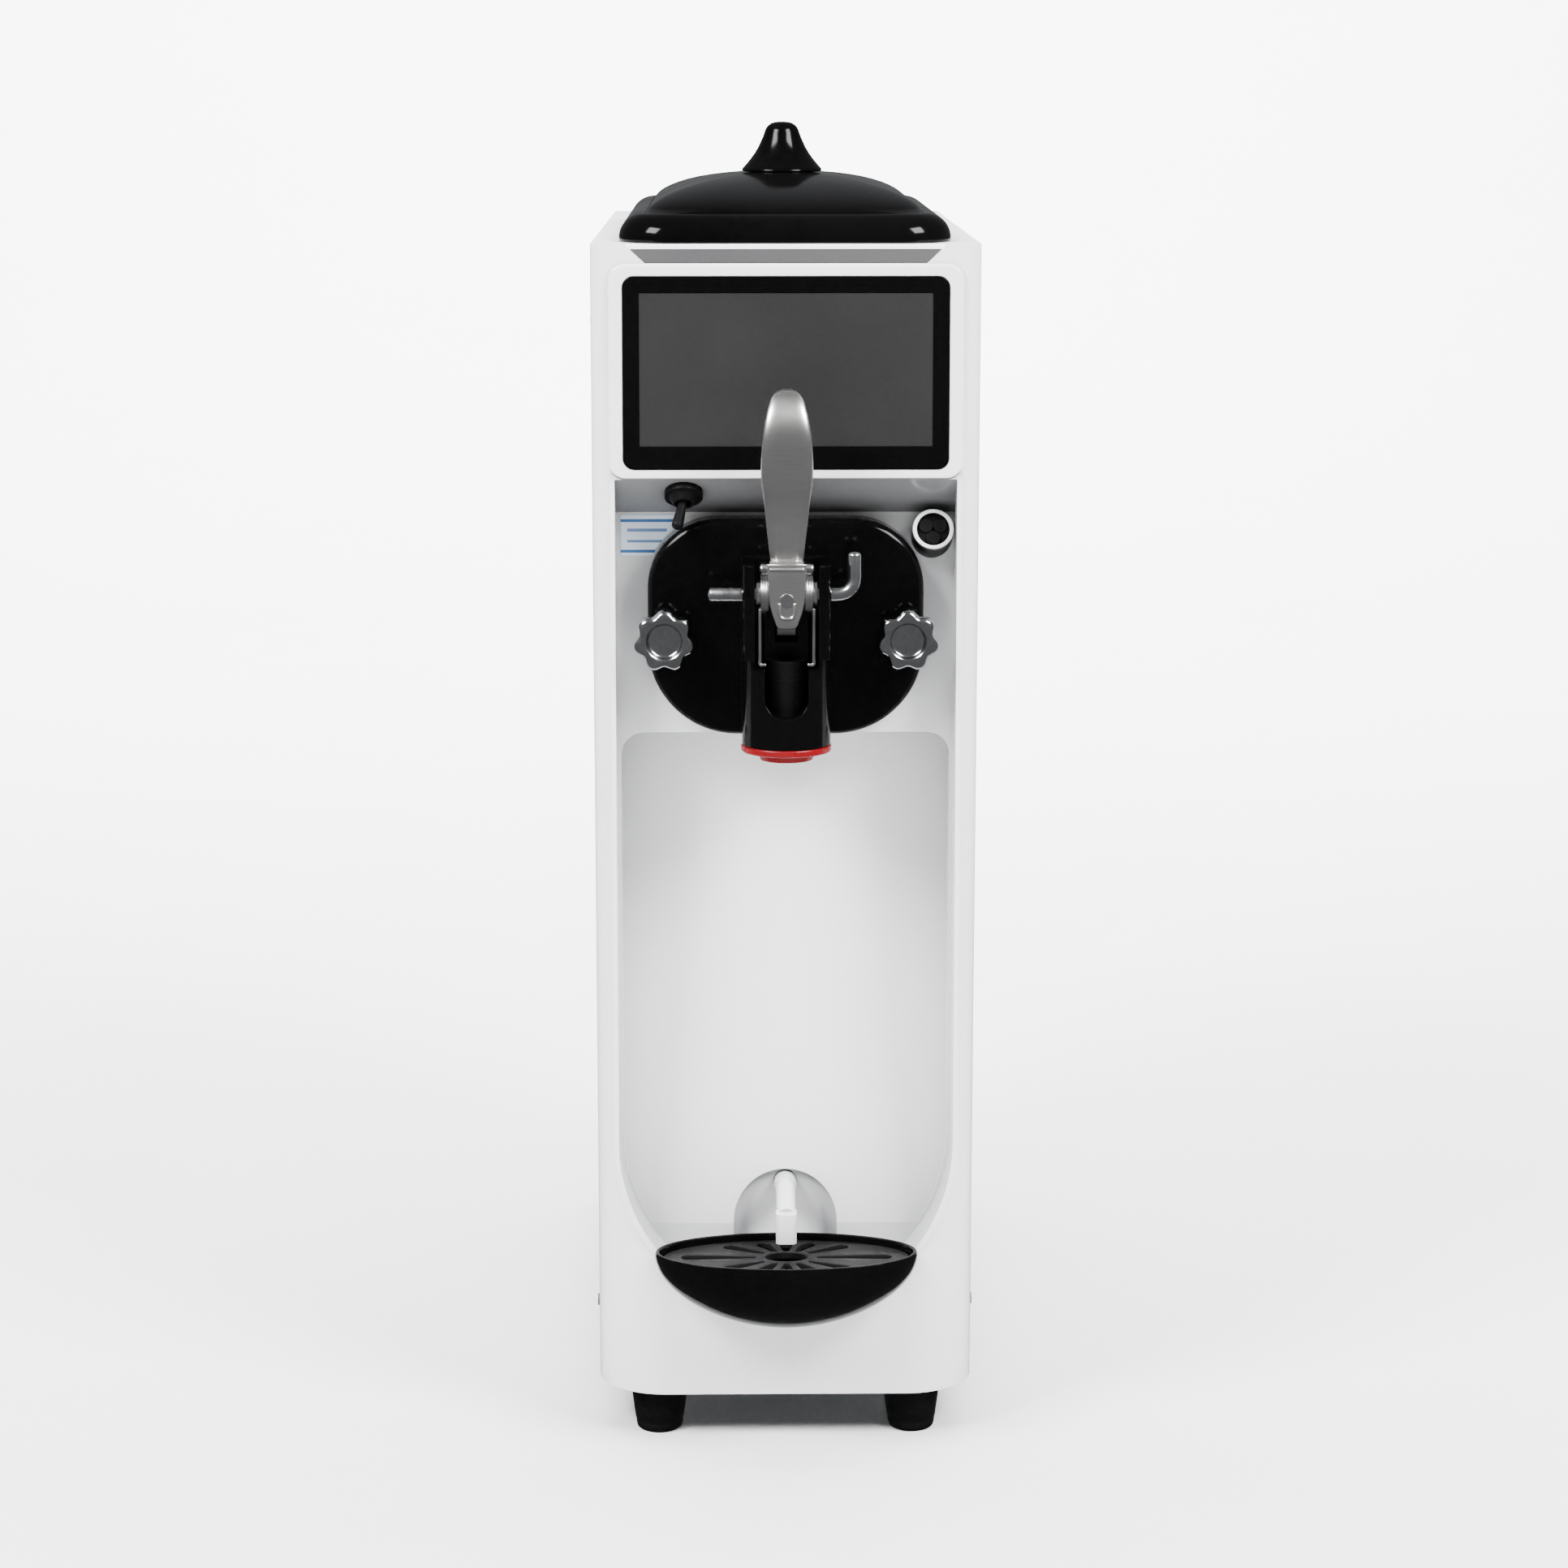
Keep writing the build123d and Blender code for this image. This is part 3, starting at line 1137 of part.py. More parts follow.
def make_cooling():
    """Compressor, condenser with its fan and shroud, and the refrigerant lines."""
    floor = FOOT_HEIGHT + SHEET
    with BuildPart() as compressor:
        with BuildSketch(Plane.XY.offset(floor + 10)):
            with Locations((0, at(COMPRESSOR_DEPTH))):
                Circle(60)
        extrude(amount=150)
        fillet(compressor.edges(), 22)
        with BuildSketch(Plane.XY.offset(floor + 8)):
            with Locations((0, at(COMPRESSOR_DEPTH))):
                RectangleRounded(130, 130, 12)
        extrude(amount=4)
        with BuildSketch(Plane.XY.offset(floor)):
            with Locations((0, at(COMPRESSOR_DEPTH))):
                with GridLocations(104, 104, 2, 2):
                    Circle(8)
        extrude(amount=9)
    save(compressor.part, "compressor")

    with BuildPart() as condenser:
        with BuildSketch(facing(455)):
            with Locations((0, 138)):
                with GridLocations(11, 1, 17, 1):
                    Rectangle(1.5, 194)
                with Locations((-88, 0), (88, 0)):
                    Rectangle(3, 198)
        extrude(amount=30)
        with BuildSketch(Plane.YZ.offset(-89)):
            with Locations((at(440), 138)):
                with GridLocations(1, 36, 1, 5):
                    Circle(4.5)
        extrude(amount=178)
        with BuildSketch(facing(452)):
            with Locations((0, floor + 6)):
                Rectangle(60, 12)
        extrude(amount=24)
    save(condenser.part, "condenser")

    with BuildPart() as fan_shroud:
        with BuildSketch(facing(418)):
            with Locations((0, 138)):
                Rectangle(180, 190)
            with Locations((0, FAN_Z)):
                Circle(74, mode=Mode.SUBTRACT)
        extrude(amount=3)
        with BuildSketch(facing(415.5)):
            with Locations((0, FAN_Z)):
                Circle(77)
                Circle(74, mode=Mode.SUBTRACT)
        extrude(amount=37)
        with BuildSketch(facing(382)):
            with Locations((0, FAN_Z)):
                Circle(20)
                with PolarLocations(47, 3):
                    Rectangle(58, 6)
                Circle(4, mode=Mode.SUBTRACT)
        extrude(amount=3)
        with BuildSketch(Plane.XY.offset(floor)):
            with Locations((0, at(416.5))):
                Rectangle(120, 3)
        extrude(amount=16)
    save(fan_shroud.part, "fan_shroud")

    with BuildPart() as fan_motor:
        with BuildSketch(facing(379)):
            with Locations((0, FAN_Z)):
                Circle(19)
        extrude(amount=34)
        fillet(fan_motor.edges(), 2)
        with BuildSketch(facing(379)):
            with Locations((0, FAN_Z)):
                Circle(3.1)
        extrude(amount=14, mode=Mode.SUBTRACT)
    save(fan_motor.part, "fan_motor")

    with BuildPart() as condenser_fan:
        with BuildSketch(facing(404)):
            with Locations((0, FAN_Z)):
                Circle(18)
        extrude(amount=17)
        with BuildSketch(facing(388)):
            with Locations((0, FAN_Z)):
                Circle(3)
        extrude(amount=21)
        for blade in range(5):
            turn = radians(72 * blade)
            arm = Plane(origin=(16 * cos(turn), at(395.5), FAN_Z + 16 * sin(turn)),
                        x_dir=(-sin(turn), 0.55, cos(turn)), z_dir=(cos(turn), 0, sin(turn)))
            with BuildSketch(arm):
                RectangleRounded(26, 2, 0.9)
            extrude(amount=54)
    save(condenser_fan.part, "condenser_fan")

    with BuildPart() as refrigerant_lines:
        discharge = [(64, at(150), 150), (100, at(150), 150), (100, at(440), 150), (90, at(440), 150)]
        suction = [(-68.6, at(250), AXIS_Z), (-85, at(250), AXIS_Z), (-85, at(250), 150), (-85, at(150), 150),
                   (-64, at(150), 150)]
        for route, radius, start in ((discharge, 5, 1), (suction, 7, -1)):
            with BuildLine() as path:
                FilletPolyline(*route, radius=radius)
            with BuildSketch(Plane(origin=route[0], z_dir=(start, 0, 0))):
                Circle(4)
            sweep(path=path.line)
    save(refrigerant_lines.part, "refrigerant_lines")


def bowl_space(radius, reach, top, deep):
    """Solid of the tray's bowl: round in plan before it is drawn in to its oval."""
    with BuildPart() as space:
        with BuildSketch(Plane.XZ):
            with BuildLine():
                Line((0, top), (radius, top))
                Line((radius, top), (radius, TRAY_RIM - 1))
                Bezier((radius, TRAY_RIM - 1), (radius, TRAY_RIM - deep * BOWL_FULLNESS),
                       (radius * BOWL_FULLNESS, TRAY_RIM - deep), (0, TRAY_RIM - deep))
                Line((0, TRAY_RIM - deep), (0, top))
            make_face()
        revolve(axis=Axis.Z)
        scale(by=(1, reach / radius, 1), about=(0, 0, 0))
    return space.part.moved(Location((0, at(TRAY_MIDDLE), 0)))


def oval_reach(half_x, half_y, turn):
    """Distance from an oval's middle to its edge in a direction given in degrees."""
    return 1 / hypot(cos(radians(turn)) / half_x, sin(radians(turn)) / half_y)


def make_tray():
    """Drip tray with its grille, and the drain spout that ends above it."""
    with BuildPart() as drip_tray:
        add(bowl_space(TRAY_HALF, TRAY_RADIUS_Y, TRAY_RIM, TRAY_DEEP))
        with BuildSketch(Plane.YZ):
            Polygon((at(-0.6), LEDGE + 0.4), (at(60), LEDGE + 0.4), (at(60), 40), (at(-0.6), 40), align=None)
        extrude(amount=HALF, both=True, mode=Mode.SUBTRACT)
        with BuildPart(mode=Mode.PRIVATE) as hollow:
            add(bowl_space(TRAY_HALF - 3, TRAY_RADIUS_Y - 3, TRAY_RIM + 1, TRAY_DEEP - 3))
            with BuildSketch(Plane.YZ):
                Polygon((at(-3.6), LEDGE + 3.4), (at(60), LEDGE + 3.4), (at(60), 40), (at(-3.6), 40), align=None)
            extrude(amount=HALF, both=True, mode=Mode.SUBTRACT)
        add(hollow.part, mode=Mode.SUBTRACT)
    save(drip_tray.part, "drip_tray")

    grille_low = Plane.XY.offset(TRAY_RIM - 8)
    with BuildPart() as tray_grille:
        with BuildSketch(grille_low):
            Ellipse(GRILLE_HALF, GRILLE_RADIUS_Y)
            Ellipse(13, 8, mode=Mode.SUBTRACT)
        extrude(amount=4)
        for slot in range(GRILLE_SLOTS):
            turn = 270 + slot * 360 / GRILLE_SLOTS
            with BuildSketch(grille_low.rotated((0, 0, turn))):
                with Locations((oval_reach(20, 13, turn), 0)):
                    Circle(1.8)
                with Locations((oval_reach(60, 24, turn), 0)):
                    Circle(4.2)
                make_hull()
            extrude(amount=4, mode=Mode.SUBTRACT)
    save(tray_grille.part.moved(Location((0, at(TRAY_MIDDLE), 0))), "tray_grille")

    with BuildPart() as drain_spout:
        with BuildLine() as run:
            FilletPolyline((0, at(54), SPOUT_Z), (0, at(24), SPOUT_Z), (0, at(-9), SPOUT_Z - 8), radius=24)
        with BuildSketch(facing(54)):
            with Locations((0, SPOUT_Z)):
                Circle(6)
        sweep(path=run.line)
        with BuildSketch(facing(NICHE_DEPTH - 0.2)):
            with Locations((0, SPOUT_Z)):
                Circle(7)
        extrude(amount=9)
        with BuildSketch(Plane.XY.offset(131)):
            with Locations((0, at(-11.5))):
                RectangleRounded(12.6, 12.6, 3)
        extrude(amount=19)
        fillet(drain_spout.faces().sort_by(Axis.Z)[0].edges(), 0.8)
        with BuildSketch(Plane.XY.offset(131)):
            with Locations((0, at(-11.5))):
                Circle(3.6)
        extrude(amount=12, mode=Mode.SUBTRACT)
    save(drain_spout.part, "drain_spout")


make_front_panel()
make_case()
make_screen()
make_switch_and_port()
make_door()
make_handle()
make_lid_and_hopper()
make_freezing()
make_drive()
make_cooling()
make_tray()
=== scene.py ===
"""Countertop soft-serve ice cream maker: fine meshes and finishes on its CAD frame.

Millimetres in the helpers, metres in the scene.  +X is the viewer's right, +Y runs to the back, +Z is up.
A "depth" is measured back from the machine's front plane.
"""

import json
from math import asin, cos, pi, radians, sin, tau

import bmesh
import bpy
from mathutils import Matrix, Vector


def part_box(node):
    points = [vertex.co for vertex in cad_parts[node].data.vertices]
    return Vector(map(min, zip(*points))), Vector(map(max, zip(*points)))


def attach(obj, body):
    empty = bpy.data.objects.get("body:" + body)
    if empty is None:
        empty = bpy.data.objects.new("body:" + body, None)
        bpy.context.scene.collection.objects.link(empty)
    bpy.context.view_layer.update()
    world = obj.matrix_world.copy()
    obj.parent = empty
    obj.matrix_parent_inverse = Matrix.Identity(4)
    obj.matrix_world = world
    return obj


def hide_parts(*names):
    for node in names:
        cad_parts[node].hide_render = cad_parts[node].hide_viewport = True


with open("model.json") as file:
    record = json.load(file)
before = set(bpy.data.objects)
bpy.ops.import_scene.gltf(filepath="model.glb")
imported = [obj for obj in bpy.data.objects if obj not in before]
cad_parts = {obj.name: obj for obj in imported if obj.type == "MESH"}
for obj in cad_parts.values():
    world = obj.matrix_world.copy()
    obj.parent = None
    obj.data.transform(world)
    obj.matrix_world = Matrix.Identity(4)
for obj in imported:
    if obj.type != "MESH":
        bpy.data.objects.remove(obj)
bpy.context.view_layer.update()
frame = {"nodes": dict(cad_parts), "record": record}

bl_info = {
    "name": "Soft-Serve Ice Cream Maker",
    "version": (1, 0, 0),
    "blender": (4, 5, 0),
    "location": "3D View > Sidebar > Ice Cream",
    "description": "Builds the fine meshes, finishes and stage of a countertop soft-serve ice cream maker",
    "category": "Object",
}

MM = 0.001
FRONT = -223.0
PIVOT_DEPTH = -28.0
PIVOT_Z = 533.0
STAR_KNOB_Z = 502.5
TRAY_MIDDLE = -17.0
TRAY_HALF_X = 80.0
TRAY_HALF_Y = 37.0
TRAY_RIM = 127.5
TRAY_WALL = 3.0
LEDGE_Z = 115.4
FOOT_X = 78.5
FOOT_DEPTHS = (27, 473)


# Shapes

def spot(x, depth, z):
    """Point of the scene from side, depth behind the front plane and height, in millimetres."""
    return Vector((x, FRONT + depth, z)) * MM


def skin(name, loops, ring=True, wrap=False, caps=True):
    """Mesh piece from matching loops of scene points, joined in order."""
    count = len(loops[0])
    rows = len(loops) - 1 + wrap
    points = [point for loop in loops for point in loop]
    faces = []
    for row in range(rows):
        here = row * count
        there = (row + 1) % len(loops) * count
        for step in range(count if ring else count - 1):
            after = (step + 1) % count
            faces.append((here + step, here + after, there + after, there + step))
    if caps and not wrap:
        faces.append(tuple(range(count)))
        last = (len(loops) - 1) * count
        faces.append(tuple(range(last, last + count)))
    mesh = bpy.data.meshes.new(name)
    mesh.from_pydata(points, [], faces)
    work = bmesh.new()
    work.from_mesh(mesh)
    bmesh.ops.remove_doubles(work, verts=work.verts, dist=1e-6)
    bmesh.ops.recalc_face_normals(work, faces=work.faces)
    work.to_mesh(mesh)
    work.free()
    piece = bpy.data.objects.new(name, mesh)
    bpy.context.scene.collection.objects.link(piece)
    return piece


def join(name, pieces):
    """One piece from several."""
    work = bmesh.new()
    for piece in pieces:
        work.from_mesh(piece.data)
    mesh = bpy.data.meshes.new(name)
    work.to_mesh(mesh)
    work.free()
    for piece in pieces:
        old = piece.data
        bpy.data.objects.remove(piece)
        bpy.data.meshes.remove(old)
    joined = bpy.data.objects.new(name, mesh)
    bpy.context.scene.collection.objects.link(joined)
    return joined


def fit(piece, body, slot, nodes, crease=38.0, own_finish=None):
    """Shade the piece, give it a finish and fix it to its body in place of the CAD nodes."""
    piece.data.shade_smooth()
    piece.data.set_sharp_from_angle(angle=radians(crease))
    piece.data.materials.append(finish_of(own_finish or slot))
    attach(piece, body)
    if nodes:
        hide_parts(*nodes)
    return piece


def circle_loop(frame_of, radius, count):
    """Loop of points round an axis: frame_of is (centre, side, up) vectors in metres, the radius in mm."""
    centre, side, up = frame_of
    turns = [tau * step / count for step in range(count)]
    return [centre + (side * cos(a) + up * sin(a)) * radius * MM for a in turns]


def turned(name, base, axis, profile, count=64, wrap=True):
    """Turned piece: the profile's (radius, distance along the axis) pairs in mm, from the base point."""
    axis = Vector(axis).normalized()
    side = axis.orthogonal().normalized()
    up = axis.cross(side)
    loops = []
    for radius, along in profile:
        centre = base + axis * along * MM
        loops.append(circle_loop((centre, side, up), max(radius, 0.001), count))
    return skin(name, loops, wrap=wrap, caps=not wrap)


def rod(name, path, radius, count=20, round_ends=True):
    """Rod of one radius in mm along scene points, with domed ends."""
    directions = []
    for step in range(len(path)):
        before = path[max(step - 1, 0)]
        after = path[min(step + 1, len(path) - 1)]
        directions.append((after - before).normalized())
    side = directions[0].orthogonal().normalized()
    loops = []
    stations = [(point, direction, 1.0) for point, direction in zip(path, directions)]
    if round_ends:
        head = []
        tail = []
        for share in (0.15, 0.5, 0.8, 0.97):
            reach = radius * MM * (1 - (1 - share ** 2) ** 0.5)
            past = radius * MM * 0.5 - reach * 0.5
            head.append((path[0] - directions[0] * past, directions[0], share))
            tail.append((path[-1] + directions[-1] * past, directions[-1], share))
        stations = head + stations + tail[::-1]
    for point, direction, share in stations:
        side = (side - direction * side.dot(direction)).normalized()
        up = direction.cross(side)
        loops.append(circle_loop((point, side, up), radius * share, count))
    return skin(name, loops)


def eased(points, radius, steps=6):
    """Path in scene points with each inner corner of the given mm points rounded."""
    path = [Vector(points[0])]
    for step in range(1, len(points) - 1):
        here = Vector(points[step])
        into = (Vector(points[step - 1]) - here)
        out = (Vector(points[step + 1]) - here)
        reach = min(radius, into.length * 0.48, out.length * 0.48)
        a = here + into.normalized() * reach
        b = here + out.normalized() * reach
        for part in range(steps + 1):
            t = part / steps
            path.append(a * (1 - t) ** 2 + here * 2 * t * (1 - t) + b * t ** 2)
    path.append(Vector(points[-1]))
    return [spot(*point) for point in path]


def plan_loop(half_x, half_y, radius, z, depth, corner=12, side=8):
    """Rounded rectangle in plan at height z, in scene points."""
    radius = min(radius, half_x - 0.01, half_y - 0.01)
    arcs = []
    for turn, (sx, sy) in enumerate(((1, 1), (-1, 1), (-1, -1), (1, -1))):
        for step in range(corner + 1):
            a = pi / 2 * (turn + step / corner)
            arcs.append((sx * (half_x - radius) + radius * cos(a), sy * (half_y - radius) + radius * sin(a)))
    loop = []
    for turn in range(4):
        arc = arcs[turn * (corner + 1):(turn + 1) * (corner + 1)]
        loop.extend(arc)
        x0, y0 = arc[-1]
        x1, y1 = arcs[(turn + 1) * (corner + 1) % len(arcs)]
        for step in range(1, side):
            share = step / side
            loop.append((x0 + (x1 - x0) * share, y0 + (y1 - y0) * share))
    return [spot(x, depth + y, z) for x, y in loop]


# Shared effects

def group(name, inputs, outputs):
    """New shader node group with sockets; returns the tree, its input node and its output node."""
    tree = bpy.data.node_groups.new(name, "ShaderNodeTree")
    for label, kind, value in inputs:
        socket = tree.interface.new_socket(name=label, in_out="INPUT", socket_type=kind)
        socket.default_value = value
    for label, kind in outputs:
        tree.interface.new_socket(name=label, in_out="OUTPUT", socket_type=kind)
    return tree, tree.nodes.new("NodeGroupInput"), tree.nodes.new("NodeGroupOutput")


def node(tree, kind, **settings):
    """New node with its properties, and its inputs where the name is a socket's index after "in"."""
    made = tree.nodes.new(kind)
    for key, value in settings.items():
        if key.startswith("in") and key[2:].isdigit():
            made.inputs[int(key[2:])].default_value = value
        else:
            setattr(made, key, value)
    return made


def maths(tree, operation, first, second=0.5):
    """Math node on two values or sockets; returns its result."""
    made = node(tree, "ShaderNodeMath", operation=operation)
    for index, value in enumerate((first, second)):
        if isinstance(value, bpy.types.NodeSocket):
            tree.links.new(value, made.inputs[index])
        else:
            made.inputs[index].default_value = value
    return made.outputs[0]


def spread(tree, value, low, high, to_low, to_high, smooth=True):
    """Value moved from one range to another, held at both ends."""
    made = node(tree, "ShaderNodeMapRange", interpolation_type="SMOOTHSTEP" if smooth else "LINEAR")
    tree.links.new(value, made.inputs["Value"])
    for key, number in (("From Min", low), ("From Max", high), ("To Min", to_low), ("To Max", to_high)):
        made.inputs[key].default_value = number
    return made.outputs["Result"]


def blend(tree, share, first, second):
    """Mix of two colours by a share; each may be a socket or a plain colour."""
    made = node(tree, "ShaderNodeMix", data_type="RGBA")
    for index, value in ((0, share), (6, first), (7, second)):
        if isinstance(value, bpy.types.NodeSocket):
            tree.links.new(value, made.inputs[index])
        else:
            made.inputs[index].default_value = value
    return made.outputs[2]


def make_grain():
    """Grain group: fine relief of a surface, stretched along an axis, with a broad shade of the same."""
    tree, source, result = group(
        "surface_grain",
        (("Scale", "NodeSocketFloat", 400.0), ("Stretch", "NodeSocketVector", (1, 1, 1)),
         ("Detail", "NodeSocketFloat", 4.0)),
        (("Height", "NodeSocketFloat"), ("Shade", "NodeSocketFloat")))
    coords = node(tree, "ShaderNodeTexCoord")
    scaled = node(tree, "ShaderNodeVectorMath", operation="MULTIPLY")
    tree.links.new(coords.outputs["Object"], scaled.inputs[0])
    tree.links.new(source.outputs["Stretch"], scaled.inputs[1])
    fine = node(tree, "ShaderNodeTexNoise")
    broad = node(tree, "ShaderNodeTexNoise", in2=9.0)
    tree.links.new(scaled.outputs[0], fine.inputs["Vector"])
    tree.links.new(source.outputs["Scale"], fine.inputs["Scale"])
    tree.links.new(source.outputs["Detail"], fine.inputs["Detail"])
    tree.links.new(coords.outputs["Object"], broad.inputs["Vector"])
    tree.links.new(fine.outputs[0], result.inputs["Height"])
    mixed = maths(tree, "ADD", maths(tree, "MULTIPLY", fine.outputs[0], 0.45),
                  maths(tree, "MULTIPLY", broad.outputs[0], 0.55))
    tree.links.new(mixed, result.inputs["Shade"])
    return tree


def make_marks():
    """Handling group: faint wiped smears and fine dust, as a mask from 0 to 1."""
    tree, source, result = group(
        "handling_marks",
        (("Scale", "NodeSocketFloat", 14.0), ("Amount", "NodeSocketFloat", 1.0)),
        (("Mask", "NodeSocketFloat"),))
    coords = node(tree, "ShaderNodeTexCoord")
    smear = node(tree, "ShaderNodeTexNoise", in3=3.0, in8=1.6)
    dust = node(tree, "ShaderNodeTexNoise", in2=900.0, in3=2.0)
    tree.links.new(coords.outputs["Object"], smear.inputs["Vector"])
    tree.links.new(source.outputs["Scale"], smear.inputs["Scale"])
    tree.links.new(coords.outputs["Object"], dust.inputs["Vector"])
    wiped = spread(tree, smear.outputs[0], 0.42, 0.72, 0.0, 1.0)
    specks = spread(tree, dust.outputs[0], 0.64, 0.78, 0.0, 0.5)
    both = maths(tree, "MULTIPLY", maths(tree, "ADD", wiped, specks), source.outputs["Amount"])
    tree.links.new(both, result.inputs["Mask"])
    return tree


def make_wear():
    """Edge group: how sharply the surface turns nearby, broken up, as a mask of rubbed edges."""
    tree, source, result = group(
        "edge_wear",
        (("Width", "NodeSocketFloat", 0.0015), ("Breakup", "NodeSocketFloat", 260.0)),
        (("Mask", "NodeSocketFloat"),))
    coords = node(tree, "ShaderNodeTexCoord")
    soft = node(tree, "ShaderNodeBevel", samples=4)
    true = node(tree, "ShaderNodeNewGeometry")
    tree.links.new(source.outputs["Width"], soft.inputs["Radius"])
    turn = node(tree, "ShaderNodeVectorMath", operation="DOT_PRODUCT")
    tree.links.new(soft.outputs[0], turn.inputs[0])
    tree.links.new(true.outputs["Normal"], turn.inputs[1])
    edge = spread(tree, turn.outputs["Value"], 0.99, 0.86, 0.0, 1.0)
    noise = node(tree, "ShaderNodeTexNoise", in3=3.0)
    tree.links.new(coords.outputs["Object"], noise.inputs["Vector"])
    tree.links.new(source.outputs["Breakup"], noise.inputs["Scale"])
    broken = maths(tree, "MULTIPLY", edge, spread(tree, noise.outputs[0], 0.35, 0.65, 0.2, 1.0))
    tree.links.new(broken, result.inputs["Mask"])
    return tree


def make_hollow_shade():
    """Painted shade group: how shut in the surface is, as a mask that rises in recesses and under ledges,
    where shade falls.
    """
    tree, source, result = group(
        "painted_hollow_shade",
        (("Reach", "NodeSocketFloat", 0.05),),
        (("Mask", "NodeSocketFloat"),))
    open_sky = node(tree, "ShaderNodeAmbientOcclusion", samples=4)
    tree.links.new(source.outputs["Reach"], open_sky.inputs["Distance"])
    tree.links.new(spread(tree, open_sky.outputs["AO"], 0.25, 0.95, 1.0, 0.0), result.inputs["Mask"])
    return tree


GROUPS = {}
MAKERS = {"surface_grain": make_grain, "handling_marks": make_marks, "edge_wear": make_wear,
          "painted_hollow_shade": make_hollow_shade}
FINISHES = {}


def effect(tree, name, **values):
    """Placed copy of a shared effect with its own values."""
    if name not in GROUPS:
        GROUPS[name] = MAKERS[name]()
    placed = node(tree, "ShaderNodeGroup", node_tree=GROUPS[name])
    for key, value in values.items():
        placed.inputs[key.capitalize()].default_value = value
    return placed


def finish(name, colour, tint, rough, grain=(400.0, (1, 1, 1), 0.02), marks=(14.0, 0.05), edge=None,
           metallic=0.0, coat=0.0, anisotropic=0.0, specular=0.5, soft=0.6):
    """Material with grained relief, a colour that drifts to its tint, smeared gloss and rubbed edges.

    grain is (scale, stretch, relief in mm), marks (scale, added roughness), edge (width m, colour, share),
    and soft is the radius in mm to which the light sees sharp edges rounded.
    """
    material = bpy.data.materials.new(name)
    material.use_nodes = True
    tree = material.node_tree
    shader = tree.nodes["Principled BSDF"]
    shader.inputs["Metallic"].default_value = metallic
    shader.inputs["Coat Weight"].default_value = coat
    shader.inputs["Coat Roughness"].default_value = 0.04
    shader.inputs["Anisotropic"].default_value = anisotropic
    shader.inputs["Specular IOR Level"].default_value = specular
    relief = effect(tree, "surface_grain", scale=grain[0], stretch=grain[1])
    shade = spread(tree, relief.outputs["Shade"], 0.35, 0.65, 0.0, 1.0)
    surface = blend(tree, shade, (*colour, 1), (*tint, 1))
    smear = effect(tree, "handling_marks", scale=marks[0])
    gloss = maths(tree, "ADD", maths(tree, "MULTIPLY", smear.outputs[0], marks[1]), rough)
    if edge:
        width, bare, share = edge
        worn = effect(tree, "edge_wear", width=width)
        mask = maths(tree, "MULTIPLY", worn.outputs[0], share)
        surface = blend(tree, mask, surface, (*bare, 1))
        gloss = maths(tree, "ADD", gloss, maths(tree, "MULTIPLY", mask, 0.15))
    tree.links.new(surface, shader.inputs["Base Color"])
    tree.links.new(gloss, shader.inputs["Roughness"])
    bump = node(tree, "ShaderNodeBump")
    bump.inputs["Strength"].default_value = 1.0
    bump.inputs["Distance"].default_value = grain[2] * MM
    if soft:
        rounded = node(tree, "ShaderNodeBevel", samples=4)
        rounded.inputs["Radius"].default_value = soft * MM
        tree.links.new(rounded.outputs[0], bump.inputs["Normal"])
    tree.links.new(relief.outputs["Height"], bump.inputs["Height"])
    tree.links.new(bump.outputs[0], shader.inputs["Normal"])
    FINISHES[name] = material
    return material


def parts_of(material):
    """Node tree, shader and colour link source of a finish, to build more on."""
    tree = material.node_tree
    shader = tree.nodes["Principled BSDF"]
    return tree, shader, shader.inputs["Base Color"].links[0].from_socket


def place_axes(tree):
    """Separate X, Y and Z of the place on the piece, in metres."""
    coords = node(tree, "ShaderNodeTexCoord")
    axes = node(tree, "ShaderNodeSeparateXYZ")
    tree.links.new(coords.outputs["Object"], axes.inputs[0])
    return axes.outputs


def band(tree, value, low, high):
    """1 between two values, else 0."""
    above = maths(tree, "GREATER_THAN", value, low)
    below = maths(tree, "LESS_THAN", value, high)
    return maths(tree, "MULTIPLY", above, below)


def make_display():
    """Switched-off display: dark matt glass over a faint grid of cells."""
    material = finish("display", (0.0125, 0.0125, 0.0128), (0.0145, 0.0145, 0.0148), 0.42,
                      (700.0, (1, 1, 1), 0.004), (9.0, 0.10), specular=0.2)
    tree, shader, colour = parts_of(material)
    x, _, z = place_axes(tree)
    lines = []
    for axis in (x, z):
        wave = maths(tree, "SINE", maths(tree, "MULTIPLY", axis, tau / 0.0006))
        lines.append(spread(tree, wave, 0.7, 1.0, 0.0, 0.06))
    grid = maths(tree, "MAXIMUM", lines[0], lines[1])
    tree.links.new(blend(tree, grid, colour, (0.02, 0.02, 0.022, 1)), shader.inputs["Base Color"])


def make_label():
    """Pale printed label with plain blue bars and no lettering."""
    material = finish("label", (0.66, 0.74, 0.84), (0.62, 0.71, 0.82), 0.42, (1500.0, (1, 1, 1), 0.01),
                      (20.0, 0.1))
    tree, shader, colour = parts_of(material)
    x, _, z = place_axes(tree)
    upper = band(tree, z, 0.5690, 0.5708)
    lower = band(tree, z, 0.5504, 0.5522)
    middle = maths(tree, "MAXIMUM", band(tree, z, 0.5632, 0.5651), band(tree, z, 0.5566, 0.5582))
    middle = maths(tree, "MULTIPLY", middle, band(tree, x, -0.0955, -0.0715))
    bars = maths(tree, "MAXIMUM", maths(tree, "MAXIMUM", upper, lower), maths(tree, "MULTIPLY", middle, 0.85))
    tree.links.new(blend(tree, bars, colour, (0.03, 0.12, 0.34, 1)), shader.inputs["Base Color"])


